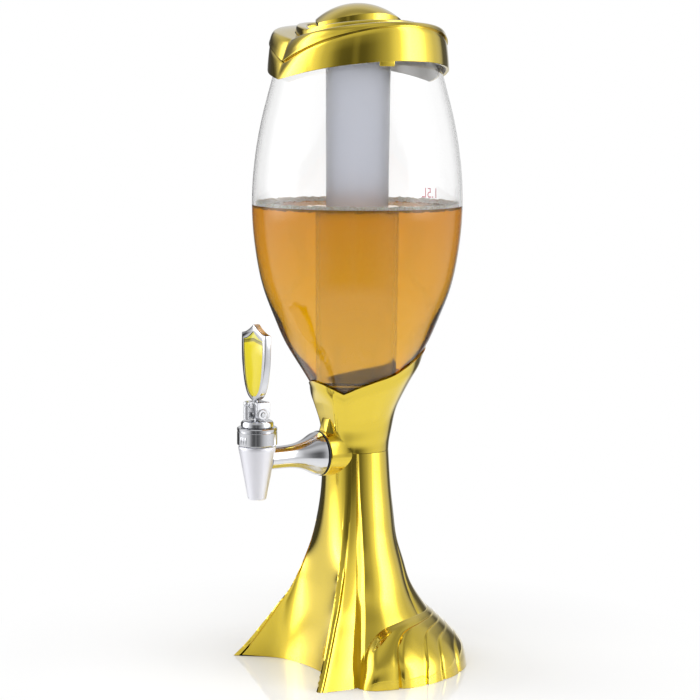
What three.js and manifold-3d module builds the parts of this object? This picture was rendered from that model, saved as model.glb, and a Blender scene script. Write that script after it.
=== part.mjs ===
// Table-top beer tower: a clear tank on a gold pedestal, with a lift-off lid, an ice tube and a lever tap.
// Millimetres, +Z up. The origin is on the tower's axis at the floor, and the tap points along -Y.
import * as THREE from 'three';
import { mergeVertices } from 'three/addons/utils/BufferGeometryUtils.js';
import Module from 'manifold-3d';

const wasm = await Module();
wasm.setup();

// Fits shared by all pieces
const clearance = 0.3;
const overrun = 5;
const weldDistance = 0.0005;

// Pedestal: a hollow plated shell with two toes at the front and a scallop on each side
const pedestalHeight = 160;
const neckRadius = 24.3;
const pedestalWall = 2.4;
const archReach = 38;
const archSideReach = 47;
const archEndReach = 60;
const toeReach = 91;
const flankReach = 84.5;
const pleatReach = 76.5;
const columnReach = 78;
const scallopHeight = 43;
const scallopSwell = 9.8;
const scallopGroove = 2.4;
const lipWall = 2.2;
const lipRise = 8;
const lipDepth = 10;

// Underside: a flat plate held by four screws in posts
const plateThickness = 4;
const screwRadius = 1.5;
const screwHeadRadius = 3.3;
const screwHeadHeight = 2;
const screwLength = 12;
const postRadius = 4.2;
const frontPostInset = 26.5;
const frontPostAngle = 50;
const rearPostInset = 22;
const rearPostAngle = 128;

// Collar: the funnel that carries the tank, with a web inside and a boss for the tap
const webRise = 26;
const webThickness = 3;
const collarWall = 2.2;
const rimWall = 1;
const rimPeak = 78;
const bossRadius = 16.5;
const bossReach = 31;
const bossWall = 1.7;
const bossTubeWall = 2.3;
const gussetWidth = 11;
const gussetDepth = 5;
const gussetRise = 8;

// Tank: blown clear plastic with a spigot and a side port at the bottom
const tankRadius = 76.5;
const tankHeight = 257;
const tankWall = 2.5;
const spigotRadius = 14;
const spigotDepth = 46;
const portRadius = 11;
const gasketThickness = 1.5;
const gasketWidth = 7;
const tankNutHeight = 7;
const tankNutWall = 5;
const drinkDepth = 147.5;

// Ice tube: it hangs from the lid into the drink
const tubeRadius = 23.5;
const tubeTaper = 1.8;
const tubeWall = 1.8;
const tubeFloorGap = 20;
const flangeWidth = 14;
const flangeThickness = 2;

// Lid: a lower band, a crown, a stepped tier and a dome, all lower at the front and back than at the sides
const lidWall = 1.5;
const bandDrop = 18.7;
const bandRise = 13.2;
const bandTaper = 1.1;
const seamDrop = 7;
const seamRise = 25.5;
const lapHeight = 0.9;
const crownHeight = 9.5;
const crownRise = 12.4;
const crownShoulder = 3.4;
const sealThickness = 2;
const sealWidth = 4;
const crownFloor = 2;
const tierRadius = 45;
const tierHeight = 10;
const tierRise = 6.5;
const tierRim = 8;
const recessRise = 6.8;
const recessFloor = 2.4;
const mouthRadius = 19.5;
const domeRadius = 46;
const domeWall = 2;
const domeHeight = 22.1;
const domeEdgeHeight = 7;
const domeEdgeRise = 7.2;

// Tap: a shank through the boss, a tapered spout, a ring nut, a bonnet and a lever that lifts the valve stem
const tapDrop = 0.8;
const spoutReach = 84;
const shankRadius = 7.2;
const shankBore = 4.4;
const shankInside = 15;
const flareRadius = 16.2;
const flareLength = 27;
const oringThickness = 1.2;
const spoutHeight = 37.1;
const spoutRadius = 13.2;
const spoutTipRadius = 6.5;
const outletBore = 4.4;
const valveBore = 6.6;
const chamberRadius = 8.6;
const seatHeight = 13.5;
const seatRise = 3;
const shankCover = 1;
const spoutNeckRadius = 9.8;
const spoutNeckHeight = 12.4;
const neckBore = 6.5;
const nutRadius = 14.4;
const nutHeight = 14.9;
const bonnetRadius = 11.7;
const bonnetHeight = 4.4;
const bonnetSpigotRadius = 7.8;
const stemRadius = 2.2;
const stemSealWidth = 1;
const stemSealHeight = 1.6;
const cupRadius = 6.1;
const cupHeight = 3.6;
const pinRise = 5;
const pinRadius = 1.6;
const pinHeadRadius = 3.2;
const pinHeadThickness = 1.1;
const eyeRadius = 3.2;
const eyeThickness = 5.2;
const hubWidth = 14.6;
const hubRadius = 4.5;
const hubBack = 6.4;
const hubHeight = 8.6;
const slotRise = 4.2;
const footReach = 8.6;
const footRadius = 2.4;
const footDrop = 3.8;
const footRise = 6.4;
const badgeHeight = 55.5;
const badgeHalfWidth = 16.4;
const badgeThickness = 7;
const badgeRim = 1.9;
const badgeOffset = 1.4;
const panelThickness = 1.3;
const studRadius = 2;
const studLength = 3.6;

// Heights and reaches worked out from the sizes above
const collarBottom = pedestalHeight + clearance;
const webBottom = pedestalHeight + webRise;
const webTop = webBottom + webThickness;
const shoulderHeight = webTop + gasketThickness + 2 * clearance;
const tankRim = shoulderHeight + tankHeight;
const tapHeight = pedestalHeight - tapDrop;
const spigotBottom = shoulderHeight - spigotDepth;
const neckCavity = neckRadius - pedestalWall;
const crownFloorBottom = tankRim + sealThickness + 2 * clearance;
const crownFloorTop = crownFloorBottom + crownFloor;
const flangeBottom = crownFloorTop + clearance;
const flangeTop = flangeBottom + flangeThickness;
const tierBottom = flangeTop + clearance;
const recessTop = tierBottom + recessRise;
const domeBottom = recessTop + clearance;
const domeCentre = domeBottom + domeHeight - domeRadius;
const tubeBottom = shoulderHeight + tubeFloorGap;
const nutBottom = tapHeight + shankRadius + clearance + shankCover;
const spoutBottom = nutBottom - spoutHeight;
const nutTop = nutBottom + clearance + nutHeight;
const bonnetBottom = nutTop + clearance;
const bonnetTop = bonnetBottom + bonnetHeight;
const pinHeight = bonnetTop + pinRise;
const hubTop = pinHeight + hubHeight;
const badgeBottom = hubTop + clearance;
const spoutNeckTop = nutBottom + spoutNeckHeight;

// Turning and lofting
const degrees = Math.PI / 180;
const quarterTurn = Math.PI / 2;
const halfTurn = 180;
const fullTurn = 360;
const fineSides = 32;
const middleSides = 24;
const coarseSides = 12;
const oringSides = 8;
const curveSteps = 5;

function between(table, at) {
  const last = table.length - 1;
  const place = table.findIndex(([mark]) => mark >= at);
  if (place === 0) return table[0][1];
  if (place < 0) return table[last][1];
  const [lowMark, low] = table[place - 1];
  const [highMark, high] = table[place];
  return low + ((high - low) * (at - lowMark)) / (highMark - lowMark);
}

function closed(geometry) {
  geometry.deleteAttribute('normal');
  geometry.deleteAttribute('uv');
  const merged = mergeVertices(geometry, weldDistance);
  const kept = [];
  const corner = (index) => new THREE.Vector3().fromBufferAttribute(merged.attributes.position, index);
  let volume = 0;
  for (let start = 0; start < merged.index.count; start += 3) {
    const [a, b, c] = [0, 1, 2].map((step) => merged.index.getX(start + step));
    if (a === b || b === c || c === a) continue;
    kept.push([a, b, c]);
    volume += corner(a).dot(corner(b).cross(corner(c)));
  }
  merged.setIndex(kept.flatMap(([a, b, c]) => (volume < 0 ? [a, c, b] : [a, b, c])));
  return merged;
}

function toSolid(geometry) {
  const sealed = closed(geometry);
  const vertProperties = new Float32Array(sealed.attributes.position.array);
  const triVerts = new Uint32Array(sealed.index.array);
  return new wasm.Manifold(new wasm.Mesh({ numProp: 3, vertProperties, triVerts }));
}

function toGeometry(solid) {
  const mesh = solid.getMesh();
  const geometry = new THREE.BufferGeometry();
  geometry.setAttribute('position', new THREE.BufferAttribute(new Float32Array(mesh.vertProperties), 3));
  geometry.setIndex(new THREE.BufferAttribute(new Uint32Array(mesh.triVerts), 1));
  return geometry;
}

const cut = (base, ...tools) => tools.reduce((solid, tool) => solid.subtract(tool), base);
const join = (base, ...others) => others.reduce((solid, other) => solid.add(other), base);

// A closed outline of [radius, height] pairs turned about +Z; the first and last points meet or lie on the axis
function turned(outline, sides = middleSides) {
  const points = outline.map(([radius, height]) => new THREE.Vector2(radius, height));
  return new THREE.LatheGeometry(points, sides).rotateX(quarterTurn);
}

// The same about the tap's own axis, which runs along Y at the height of the boss
function turnedAlongTap(outline, sides = middleSides) {
  const points = outline.map(([radius, reach]) => new THREE.Vector2(radius, -reach));
  return new THREE.LatheGeometry(points, sides).translate(0, 0, tapHeight);
}

const loop = (outline) => [...outline, outline[0]];

function ring(inner, outer, bottom, top, sides = middleSides) {
  return turned(loop([[inner, bottom], [outer, bottom], [outer, top], [inner, top]]), sides);
}

function rod(radius, bottom, top, sides = middleSides) {
  return turned([[0, bottom], [radius, bottom], [radius, top], [0, top]], sides);
}

function tapRod(radius, from, to, sides = middleSides) {
  return turnedAlongTap([[0, from], [radius, from], [radius, to], [0, to]], sides);
}

// Outlines that differ from angle to angle, joined into one skin; angle 0 faces the tap
function lofted(angles, outlineAt, isLoop) {
  const positions = [];
  const indices = [];
  const outlines = angles.map((angle) => outlineAt(angle));
  const rows = outlines[0].length;
  outlines.forEach((outline, column) => {
    const turn = angles[column] * degrees;
    outline.forEach(([radius, height]) => {
      positions.push(radius * Math.sin(turn), -radius * Math.cos(turn), height);
    });
  });
  const spans = isLoop ? rows : rows - 1;
  for (let column = 0; column < angles.length; column += 1) {
    const next = (column + 1) % angles.length;
    for (let row = 0; row < spans; row += 1) {
      const above = (row + 1) % rows;
      const [a, b] = [column * rows + row, next * rows + row];
      const [c, d] = [next * rows + above, column * rows + above];
      indices.push(a, b, c, a, c, d);
    }
  }
  const geometry = new THREE.BufferGeometry();
  geometry.setAttribute('position', new THREE.Float32BufferAttribute(positions, 3));
  geometry.setIndex(indices);
  return geometry;
}

const mirrored = (half) => [...half, ...half.slice(1, -1).reverse().map((angle) => fullTurn - angle)];
const folded = (angle) => {
  const turn = ((angle % fullTurn) + fullTurn) % fullTurn;
  return turn > halfTurn ? fullTurn - turn : turn;
};
const evenAngles = Array.from({ length: fineSides }, (_, step) => (step * fullTurn) / fineSides);

// Pedestal outline: shares of the flare at shares of the height, for the arch, the toe ridge and the column
const levelShares = [0, 0.05, 0.1, 0.15, 0.2125, 0.2625, 0.2875, 0.375, 0.475, 0.575, 0.6875, 0.8125, 1];
const archShares = [1, 0.93, 0.86, 0.79, 0.7, 0.62, 0.58, 0.45, 0.33, 0.22, 0.12, 0.04, 0];
const ridgeShares = [1, 0.885, 0.785, 0.693, 0.578, 0.49, 0.44, 0.31, 0.206, 0.121, 0.06, 0.018, 0];
const columnShares = [1, 0.926, 0.851, 0.758, 0.628, 0.525, 0.471, 0.311, 0.216, 0.128, 0.08, 0.039, 0];
const meridians = [
  [0, archReach, archShares],
  [12, archReach, archShares],
  [27, archSideReach, archShares],
  [40, archEndReach, ridgeShares],
  [41.5, toeReach, ridgeShares],
  [50, flankReach, ridgeShares],
  [59, pleatReach, ridgeShares],
  [61, columnReach, columnShares],
  [180, columnReach, columnShares],
];
const grooveAngles = [77, 90, 104, 121];
const grooveSpan = 3;
const scallopEdgeShares = [
  [60, 0.2], [63, 0.47], [66, 0.61], [71, 0.73], [81, 0.885], [98, 0.95], [117, 0.977], [142, 1],
];
const swellShares = [[0, 0.54], [0.19, 0.84], [0.38, 1], [0.56, 0.86], [0.8, 0.78], [0.93, 0.5], [1, 0]];
const pedestalAngles = mirrored([
  0, 12, 22, 32, 38, 40, 41.5, 46, 52, 57, 59, 61, 64,
  69, 77, 83.5, 90, 97, 104, 112, 121, 132, 144, 156, 168, 180,
]);

function meridianRadius([, reach, shares], heightShare) {
  const flare = between(levelShares.map((level, row) => [level, shares[row]]), heightShare);
  return neckRadius + (reach - neckRadius) * flare;
}

function scallopSwellAt(angle, height) {
  if (angle < scallopEdgeShares[0][0]) return 0;
  const edge = scallopHeight * between(scallopEdgeShares, angle);
  if (height >= edge) return 0;
  const nearest = Math.min(...grooveAngles.map((groove) => Math.abs(groove - angle)));
  const groove = nearest < grooveSpan ? scallopGroove * (1 - nearest / grooveSpan) : 0;
  return scallopSwell * between(swellShares, height / edge) - groove * (1 - height / edge);
}

function pedestalRadius(angle, height) {
  const side = folded(angle);
  const heightShare = Math.min(Math.max(height / pedestalHeight, 0), 1);
  const radii = meridians.map((meridian) => [meridian[0], meridianRadius(meridian, heightShare)]);
  return between(radii, side) + scallopSwellAt(side, height);
}

// The hollow keeps a full wall from the skin above it and from the skin a wall's width to either side
function cavityRadius(angle, height) {
  const lookUp = height + pedestalWall / 2;
  const spread = pedestalWall / pedestalRadius(angle, lookUp) / degrees;
  const nearby = [-spread, 0, spread].map((step) => pedestalRadius(angle + step, lookUp));
  return Math.min(...nearby) - pedestalWall;
}

const postPlaces = [
  [flankReach - frontPostInset, frontPostAngle],
  [flankReach - frontPostInset, -frontPostAngle],
  [columnReach - rearPostInset, rearPostAngle],
  [columnReach - rearPostInset, -rearPostAngle],
].map(([reach, angle]) => [reach * Math.sin(angle * degrees), -reach * Math.cos(angle * degrees)]);

function lowerBody() {
  const levels = levelShares.map((share) => share * pedestalHeight);
  const skin = lofted(
    pedestalAngles,
    (angle) => [[0, 0], ...levels.map((level) => [pedestalRadius(angle, level), level]), [0, pedestalHeight]],
    false,
  );
  const seatTop = plateThickness + clearance;
  const hollowLevels = [-overrun, seatTop, ...levels.slice(1), pedestalHeight + overrun];
  const hollow = lofted(
    pedestalAngles,
    (angle) => [
      [0, -overrun],
      ...hollowLevels.map((level) => [cavityRadius(angle, Math.max(level, seatTop)), level]),
      [0, pedestalHeight + overrun],
    ],
    false,
  );
  const body = toSolid(skin);
  const lipOuter = neckCavity - clearance;
  const lipInner = lipOuter - lipWall;
  const lipRoot = neckRadius - pedestalWall / 2;
  const lipBottom = pedestalHeight - lipDepth;
  const lip = turned(loop([
    [lipInner, lipBottom],
    [lipRoot, lipBottom],
    [lipRoot, lipBottom + pedestalWall],
    [lipOuter, lipBottom + pedestalWall],
    [lipOuter, pedestalHeight + lipRise],
    [lipInner, pedestalHeight + lipRise],
  ]), fineSides);
  const posts = postPlaces.map(([x, y]) => (
    toSolid(rod(postRadius, seatTop, scallopHeight + overrun, coarseSides).translate(x, y, 0)).intersect(body)
  ));
  const screwHoles = postPlaces.map(([x, y]) => (
    toSolid(rod(screwRadius + clearance, 0, screwLength + overrun, coarseSides).translate(x, y, 0))
  ));
  const bossSeat = toSolid(tapRod(bossRadius + clearance, 0, bossReach + overrun, fineSides));
  const shell = join(cut(body, toSolid(hollow)), toSolid(lip), ...posts);
  return toGeometry(cut(shell, bossSeat, ...screwHoles));
}

function bottomPlate() {
  const plate = lofted(
    pedestalAngles,
    (angle) => {
      const edge = cavityRadius(angle, plateThickness + clearance) - clearance;
      return [[0, 0], [edge, 0], [edge, plateThickness], [0, plateThickness]];
    },
    false,
  );
  const holes = postPlaces.flatMap(([x, y]) => [
    toSolid(rod(screwRadius + clearance, -overrun, plateThickness + overrun, coarseSides).translate(x, y, 0)),
    toSolid(
      rod(screwHeadRadius + clearance, -overrun, screwHeadHeight + 2 * clearance, coarseSides).translate(x, y, 0),
    ),
  ]);
  return toGeometry(cut(toSolid(plate), ...holes));
}

function bottomScrew([x, y]) {
  return turned([
    [0, clearance],
    [screwHeadRadius, clearance],
    [screwHeadRadius, clearance + screwHeadHeight],
    [screwRadius, clearance + screwHeadHeight],
    [screwRadius, screwLength],
    [0, screwLength],
  ], coarseSides).translate(x, y, 0);
}

// Tank outline: shares of its radius at shares of its height, from the shoulder to the rim
const tankShares = [
  [0, 0.275], [0.023, 0.344], [0.049, 0.4], [0.106, 0.514], [0.192, 0.69], [0.25, 0.775], [0.33, 0.88],
  [0.43, 0.957], [0.56, 1], [0.7, 0.977], [0.816, 0.912], [0.928, 0.8157], [1, 0.753],
];
const tankRadiusAt = (height) => tankRadius * between(tankShares, (height - shoulderHeight) / tankHeight);
const tankOutline = tankShares.map(([rise, share]) => [tankRadius * share, shoulderHeight + tankHeight * rise]);
const tankInside = tankOutline.slice(1).map(([radius, height]) => [radius - tankWall, height]);

function tank() {
  const bore = spigotRadius - tankWall;
  const shell = turned([
    [0, spigotBottom],
    [spigotRadius, spigotBottom],
    [spigotRadius, shoulderHeight],
    ...tankOutline,
    ...tankInside.slice().reverse(),
    [bore, shoulderHeight + tankWall],
    [bore, spigotBottom + tankWall],
    [0, spigotBottom + tankWall],
  ], fineSides);
  const portEnd = bossReach - bossWall - gasketThickness - 2 * clearance;
  const port = toSolid(tapRod(portRadius, spigotRadius - tankWall / 2, portEnd));
  const portBore = toSolid(tapRod(shankRadius + clearance, 0, bossReach));
  return toGeometry(cut(join(toSolid(shell), port), portBore));
}

function tankGasket() {
  const inner = spigotRadius + clearance;
  return ring(inner, inner + gasketWidth, webTop + clearance, webTop + clearance + gasketThickness);
}

function tankNut() {
  const inner = spigotRadius + clearance;
  const top = webBottom - clearance;
  return ring(inner, inner + tankNutWall, top - tankNutHeight, top);
}

// The drink keeps clear of the wall and the ice tube by the fit's gap
function tubeRadiusAt(height) {
  return between([[tubeBottom, tubeRadius - tubeTaper], [tankRim, tubeRadius]], height);
}

function drink() {
  const level = shoulderHeight + drinkDepth;
  const bore = spigotRadius - tankWall - clearance;
  const inside = tankInside.filter(([, height]) => height < level);
  const surface = tankRadiusAt(level) - tankWall - clearance;
  return turned([
    [0, spigotBottom + tankWall + clearance],
    [bore, spigotBottom + tankWall + clearance],
    [bore, shoulderHeight + tankWall + clearance],
    ...inside.map(([radius, height]) => [radius - clearance, height + clearance]),
    [surface, level],
    [tubeRadiusAt(level) + clearance, level],
    [tubeRadiusAt(tubeBottom) + clearance, tubeBottom - clearance],
    [0, tubeBottom - clearance],
  ], fineSides);
}

function iceTube() {
  const flangeRadius = tubeRadius + flangeWidth;
  const foot = tubeRadiusAt(tubeBottom);
  return turned([
    [0, tubeBottom],
    [foot, tubeBottom],
    [tubeRadius, tankRim],
    [tubeRadius, flangeBottom],
    [flangeRadius, flangeBottom],
    [flangeRadius, flangeTop],
    [tubeRadius - tubeWall, flangeTop],
    [foot - tubeWall, tubeBottom + tubeWall],
    [0, tubeBottom + tubeWall],
  ]);
}

// Collar: the rim dips beside the front peak and climbs towards the back, and hugs the tank all the way
const rimShares = [
  [0, 0.673], [20, 0.635], [34, 0.582], [41, 0.564], [50, 0.595], [58, 0.624], [76, 0.681], [102, 0.755],
  [115, 0.82], [127, 0.885], [147, 0.955], [180, 1],
];
const funnelShares = [
  [0, 0], [0.09, 0.02], [0.18, 0.066], [0.28, 0.118], [0.375, 0.177], [0.47, 0.27], [0.565, 0.4], [0.66, 0.54],
  [0.76, 0.7], [0.857, 0.85], [0.95, 0.94], [1, 1],
];
const collarAngles = mirrored([0, 10, 20, 28, 35, 41, 47, 55, 65, 76, 89, 102, 115, 127, 137, 147, 158, 169, 180]);
const innerWallShares = [1, 0.9, 0.75, 0.6];

function collarEdge(angle) {
  const rim = pedestalHeight + rimPeak * between(rimShares, folded(angle));
  return { rim, radius: tankRadiusAt(rim) + clearance + rimWall };
}

function collarRadius(angle, height) {
  const { rim, radius } = collarEdge(angle);
  const share = between(funnelShares, (height - pedestalHeight) / (rim - pedestalHeight));
  return neckRadius + (radius - neckRadius) * share;
}

function collarInside(angle, height) {
  const { rim } = collarEdge(angle);
  const wall = between([[pedestalHeight, collarWall], [webTop, collarWall], [rim, rimWall]], height);
  return Math.max(collarRadius(angle, height) - wall, tankRadiusAt(height) + clearance);
}

function collarOutline(angle) {
  const { rim } = collarEdge(angle);
  const levels = funnelShares.map(([share]) => pedestalHeight + share * (rim - pedestalHeight));
  const outside = levels.map((level) => Math.max(collarBottom, level));
  const inside = innerWallShares.map((share) => webTop + share * (rim - webTop));
  const below = [webBottom, (webBottom + collarBottom) / 2, collarBottom];
  const neckWall = neckRadius - neckCavity;
  return [
    ...outside.map((height) => [collarRadius(angle, height), height]),
    ...inside.map((height) => [collarInside(angle, height), height]),
    [collarInside(angle, webTop), webTop],
    [spigotRadius + clearance, webTop],
    [spigotRadius + clearance, webBottom],
    ...below.map((height) => [collarRadius(angle, height) - neckWall, height]),
  ];
}

function gusset() {
  const half = gussetWidth / 2;
  const shape = new THREE.Shape();
  shape.moveTo(-half, 0);
  shape.lineTo(half, 0);
  shape.lineTo(half, gussetRise / 2);
  shape.quadraticCurveTo(half, gussetRise, 0, gussetRise);
  shape.quadraticCurveTo(-half, gussetRise, -half, gussetRise / 2);
  const root = neckRadius + clearance;
  const options = { depth: gussetDepth, bevelEnabled: false, curveSegments: curveSteps };
  const block = new THREE.ExtrudeGeometry(shape, options);
  const bottom = tapHeight + bossRadius - pedestalWall;
  return block.rotateX(quarterTurn).translate(0, -root, bottom);
}

function collar() {
  const funnel = toSolid(lofted(collarAngles, collarOutline, true));
  const neckHole = toSolid(rod(neckCavity, -overrun, webBottom, fineSides));
  const hollowEnd = bossReach - bossWall;
  const boss = cut(toSolid(tapRod(bossRadius, 0, bossReach, fineSides)), neckHole);
  const hollow = toSolid(tapRod(bossRadius - bossTubeWall, 0, hollowEnd, fineSides));
  const shankHole = toSolid(tapRod(shankRadius + clearance, 0, bossReach + overrun));
  return toGeometry(cut(join(funnel, boss, toSolid(gusset())), hollow, shankHole));
}

// Lid: every edge climbs from the front and back tips towards the sides
const sideShare = (angle) => Math.abs(Math.sin(angle * degrees));
const bandBottomAt = (angle) => tankRim - bandDrop + bandRise * sideShare(angle);
const seamAt = (angle) => tankRim - seamDrop + seamRise * sideShare(angle);
const crownTopAt = (angle) => tankRim + crownHeight + crownRise * sideShare(angle);
const bandInner = tankRadiusAt(tankRim - bandDrop) + 2 * clearance;
const bandOuter = bandInner + lidWall;
const lapOuter = bandOuter - bandTaper - lidWall;
const lapInner = lapOuter - lidWall + clearance;

function lidBand() {
  return lofted(evenAngles, (angle) => {
    const [bottom, seam] = [bandBottomAt(angle), seamAt(angle)];
    return [
      [bandInner, bottom],
      [bandOuter, bottom],
      [bandOuter - bandTaper, seam],
      [lapOuter, seam],
      [lapOuter, seam + lapHeight],
      [lapInner, seam + lapHeight],
      [lapInner, seam - lapHeight],
    ];
  }, true);
}

function lidCrown() {
  const cupOuter = tierRadius + clearance + lidWall;
  const floorOuter = tankRadiusAt(tankRim) + clearance;
  return lofted(evenAngles, (angle) => {
    const [seam, top] = [seamAt(angle) + clearance, crownTopAt(angle)];
    const shoulder = top - crownShoulder / 2;
    const outer = bandOuter - bandTaper + clearance;
    return [
      [outer, seam],
      [outer - crownShoulder / 3, Math.max(shoulder, seam + lapHeight / 2)],
      [outer - crownShoulder, top],
      [tierRadius + clearance, top],
      [tierRadius + clearance, crownFloorTop],
      [tubeRadius + clearance, crownFloorTop],
      [tubeRadius + clearance, crownFloorBottom],
      [floorOuter, crownFloorBottom],
      [floorOuter, crownFloorTop],
      [cupOuter, crownFloorTop],
      [cupOuter, top - lidWall],
      [lapOuter - lidWall, top - lidWall],
      [lapOuter + clearance, Math.min(shoulder, seam + lapHeight) - clearance],
      [lapOuter + clearance, seam],
    ];
  }, true);
}

function lidTier() {
  const inner = tierRadius - tierRim;
  return lofted(evenAngles, (angle) => {
    const top = tierBottom + tierHeight + tierRise * sideShare(angle);
    return [
      [inner - lidWall, tierBottom],
      [tierRadius, tierBottom],
      [tierRadius, top - lidWall],
      [tierRadius - lidWall, top],
      [inner + lidWall, top],
      [inner, top - lidWall],
      [inner, recessTop],
      [mouthRadius, recessTop],
      [mouthRadius, recessTop - recessFloor],
      [inner - lidWall, recessTop - recessFloor],
    ];
  }, true);
}

const domeSteps = [1, 0.8, 0.6, 0.4, 0.2, 0];

function lidDome() {
  const arc = (radius, edge, step) => {
    const turn = Math.asin(edge / radius) * step;
    return [radius * Math.sin(turn), domeCentre + radius * Math.cos(turn)];
  };
  return lofted(evenAngles, (angle) => {
    const rise = domeBottom + domeEdgeHeight + domeEdgeRise * sideShare(angle) - domeCentre;
    const edge = Math.sqrt(domeRadius * domeRadius - rise * rise);
    const inside = domeSteps.map((step) => arc(domeRadius - domeWall, edge - domeWall, step));
    return [
      ...inside.reverse(),
      [edge - domeWall, domeBottom],
      [edge, domeBottom],
      ...domeSteps.map((step) => arc(domeRadius, edge, step)),
    ];
  }, false);
}

function lidSeal() {
  const outer = tankRadiusAt(tankRim);
  return ring(outer - sealWidth, outer, tankRim + clearance, tankRim + clearance + sealThickness, fineSides);
}

// Tap pieces on the shank's axis
const oringReach = bossReach + clearance + oringThickness / 2;
const flareBack = bossReach + 2 * clearance + oringThickness;

function bossOring() {
  const half = oringThickness / 2;
  const section = Array.from({ length: oringSides }, (_, step) => {
    const turn = (step * fullTurn * degrees) / oringSides;
    return [bossRadius - half + half * Math.cos(turn), oringReach + half * Math.sin(turn)];
  });
  return turnedAlongTap(loop(section), fineSides);
}

function tapGasket() {
  const outerFace = bossReach - bossWall - clearance;
  const innerFace = outerFace - gasketThickness;
  const inner = shankRadius + clearance;
  return turnedAlongTap(loop([
    [inner, innerFace], [portRadius, innerFace], [portRadius, outerFace], [inner, outerFace],
  ]));
}

const flareShares = [[0, 1], [0.12, 0.87], [0.3, 0.51], [0.49, 0.24], [0.65, 0.11], [1, 0]];

function tapShank() {
  const spoutEnd = spoutReach - chamberRadius - 2 * clearance;
  const flare = flareShares.map(([run, share]) => [
    shankRadius + (flareRadius - shankRadius) * share,
    flareBack + flareLength * run,
  ]);
  return turnedAlongTap(loop([
    [shankBore, shankInside],
    [shankRadius, shankInside],
    [shankRadius, flareBack],
    ...flare,
    [shankRadius, spoutEnd],
    [shankBore, spoutEnd],
  ]), fineSides);
}

// Tap pieces on the spout's axis
const atSpout = (geometry) => geometry.translate(0, -spoutReach, 0);

function spoutBody() {
  const seat = spoutBottom + seatHeight;
  const chamberTop = nutBottom - shankCover;
  const body = toSolid(atSpout(turned(loop([
    [outletBore, spoutBottom],
    [spoutTipRadius, spoutBottom],
    [spoutRadius, nutBottom],
    [spoutNeckRadius, nutBottom],
    [spoutNeckRadius, spoutNeckTop],
    [neckBore, spoutNeckTop],
    [neckBore, nutBottom + shankCover],
    [chamberRadius, chamberTop],
    [chamberRadius, tapHeight - seatRise],
    [valveBore, seat + seatRise],
    [outletBore, seat],
  ]))));
  const shankSeat = toSolid(tapRod(shankRadius + clearance, bossReach, spoutReach));
  return toGeometry(cut(body, shankSeat));
}

function ringNut() {
  const bore = spoutNeckRadius + clearance;
  const bottom = nutBottom + clearance;
  return atSpout(turned(loop([
    [bore, bottom],
    [nutRadius, bottom],
    [nutRadius, nutTop],
    [bonnetSpigotRadius + clearance, nutTop],
    [bonnetSpigotRadius + clearance, spoutNeckTop + clearance],
    [bore, spoutNeckTop + clearance],
  ])));
}

function bonnet() {
  const spigotEnd = spoutNeckTop + clearance;
  const bore = stemRadius + clearance;
  const sealBore = bore + stemSealWidth + clearance;
  return atSpout(turned(loop([
    [sealBore, spigotEnd],
    [bonnetSpigotRadius, spigotEnd],
    [bonnetSpigotRadius, bonnetBottom],
    [bonnetRadius, bonnetBottom],
    [bonnetRadius, bonnetTop],
    [bore, bonnetTop],
    [bore, spigotEnd + stemSealHeight + clearance],
    [sealBore, spigotEnd + stemSealHeight + clearance],
  ])));
}

function stemSeal() {
  const inner = stemRadius + clearance;
  const bottom = spoutNeckTop + clearance;
  return atSpout(ring(inner, inner + stemSealWidth, bottom, bottom + stemSealHeight, coarseSides));
}

const cupBottom = spoutBottom + seatHeight + clearance;
const cupShoulder = cupBottom + seatRise + clearance;

function valveCup() {
  const pocket = stemRadius + clearance;
  return atSpout(turned([
    [0, cupBottom],
    [outletBore - clearance, cupBottom],
    [cupRadius, cupShoulder],
    [cupRadius, cupShoulder + cupHeight],
    [pocket, cupShoulder + cupHeight],
    [pocket, cupShoulder],
    [0, cupShoulder],
  ]));
}

function alongX(geometry, from) {
  return geometry.rotateY(quarterTurn).translate(from, -spoutReach, pinHeight);
}

function valveStem() {
  const stem = toSolid(atSpout(rod(stemRadius, cupShoulder + clearance, pinHeight)));
  const eye = toSolid(alongX(rod(eyeRadius, 0, eyeThickness), -eyeThickness / 2));
  const hole = toSolid(alongX(rod(pinRadius + clearance, -overrun, eyeThickness + overrun), -eyeThickness / 2));
  return toGeometry(cut(join(stem, eye), hole));
}

function leverPin() {
  const half = hubWidth / 2 + clearance;
  const end = half + pinHeadThickness;
  return alongX(turned([
    [0, -end],
    [pinHeadRadius, -end],
    [pinHeadRadius, -half],
    [pinRadius, -half],
    [pinRadius, half],
    [pinHeadRadius, half],
    [pinHeadRadius, end],
    [0, end],
  ]), 0);
}

// An outline drawn in [y, z] from the pin, given its width along X
function sideways(shape, width) {
  const options = { depth: width, bevelEnabled: false, curveSegments: curveSteps };
  const block = new THREE.ExtrudeGeometry(shape, options);
  const axes = new THREE.Matrix4().makeBasis(
    new THREE.Vector3(0, 1, 0),
    new THREE.Vector3(0, 0, 1),
    new THREE.Vector3(1, 0, 0),
  );
  return block.applyMatrix4(axes).translate(-width / 2, -spoutReach, pinHeight);
}

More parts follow.
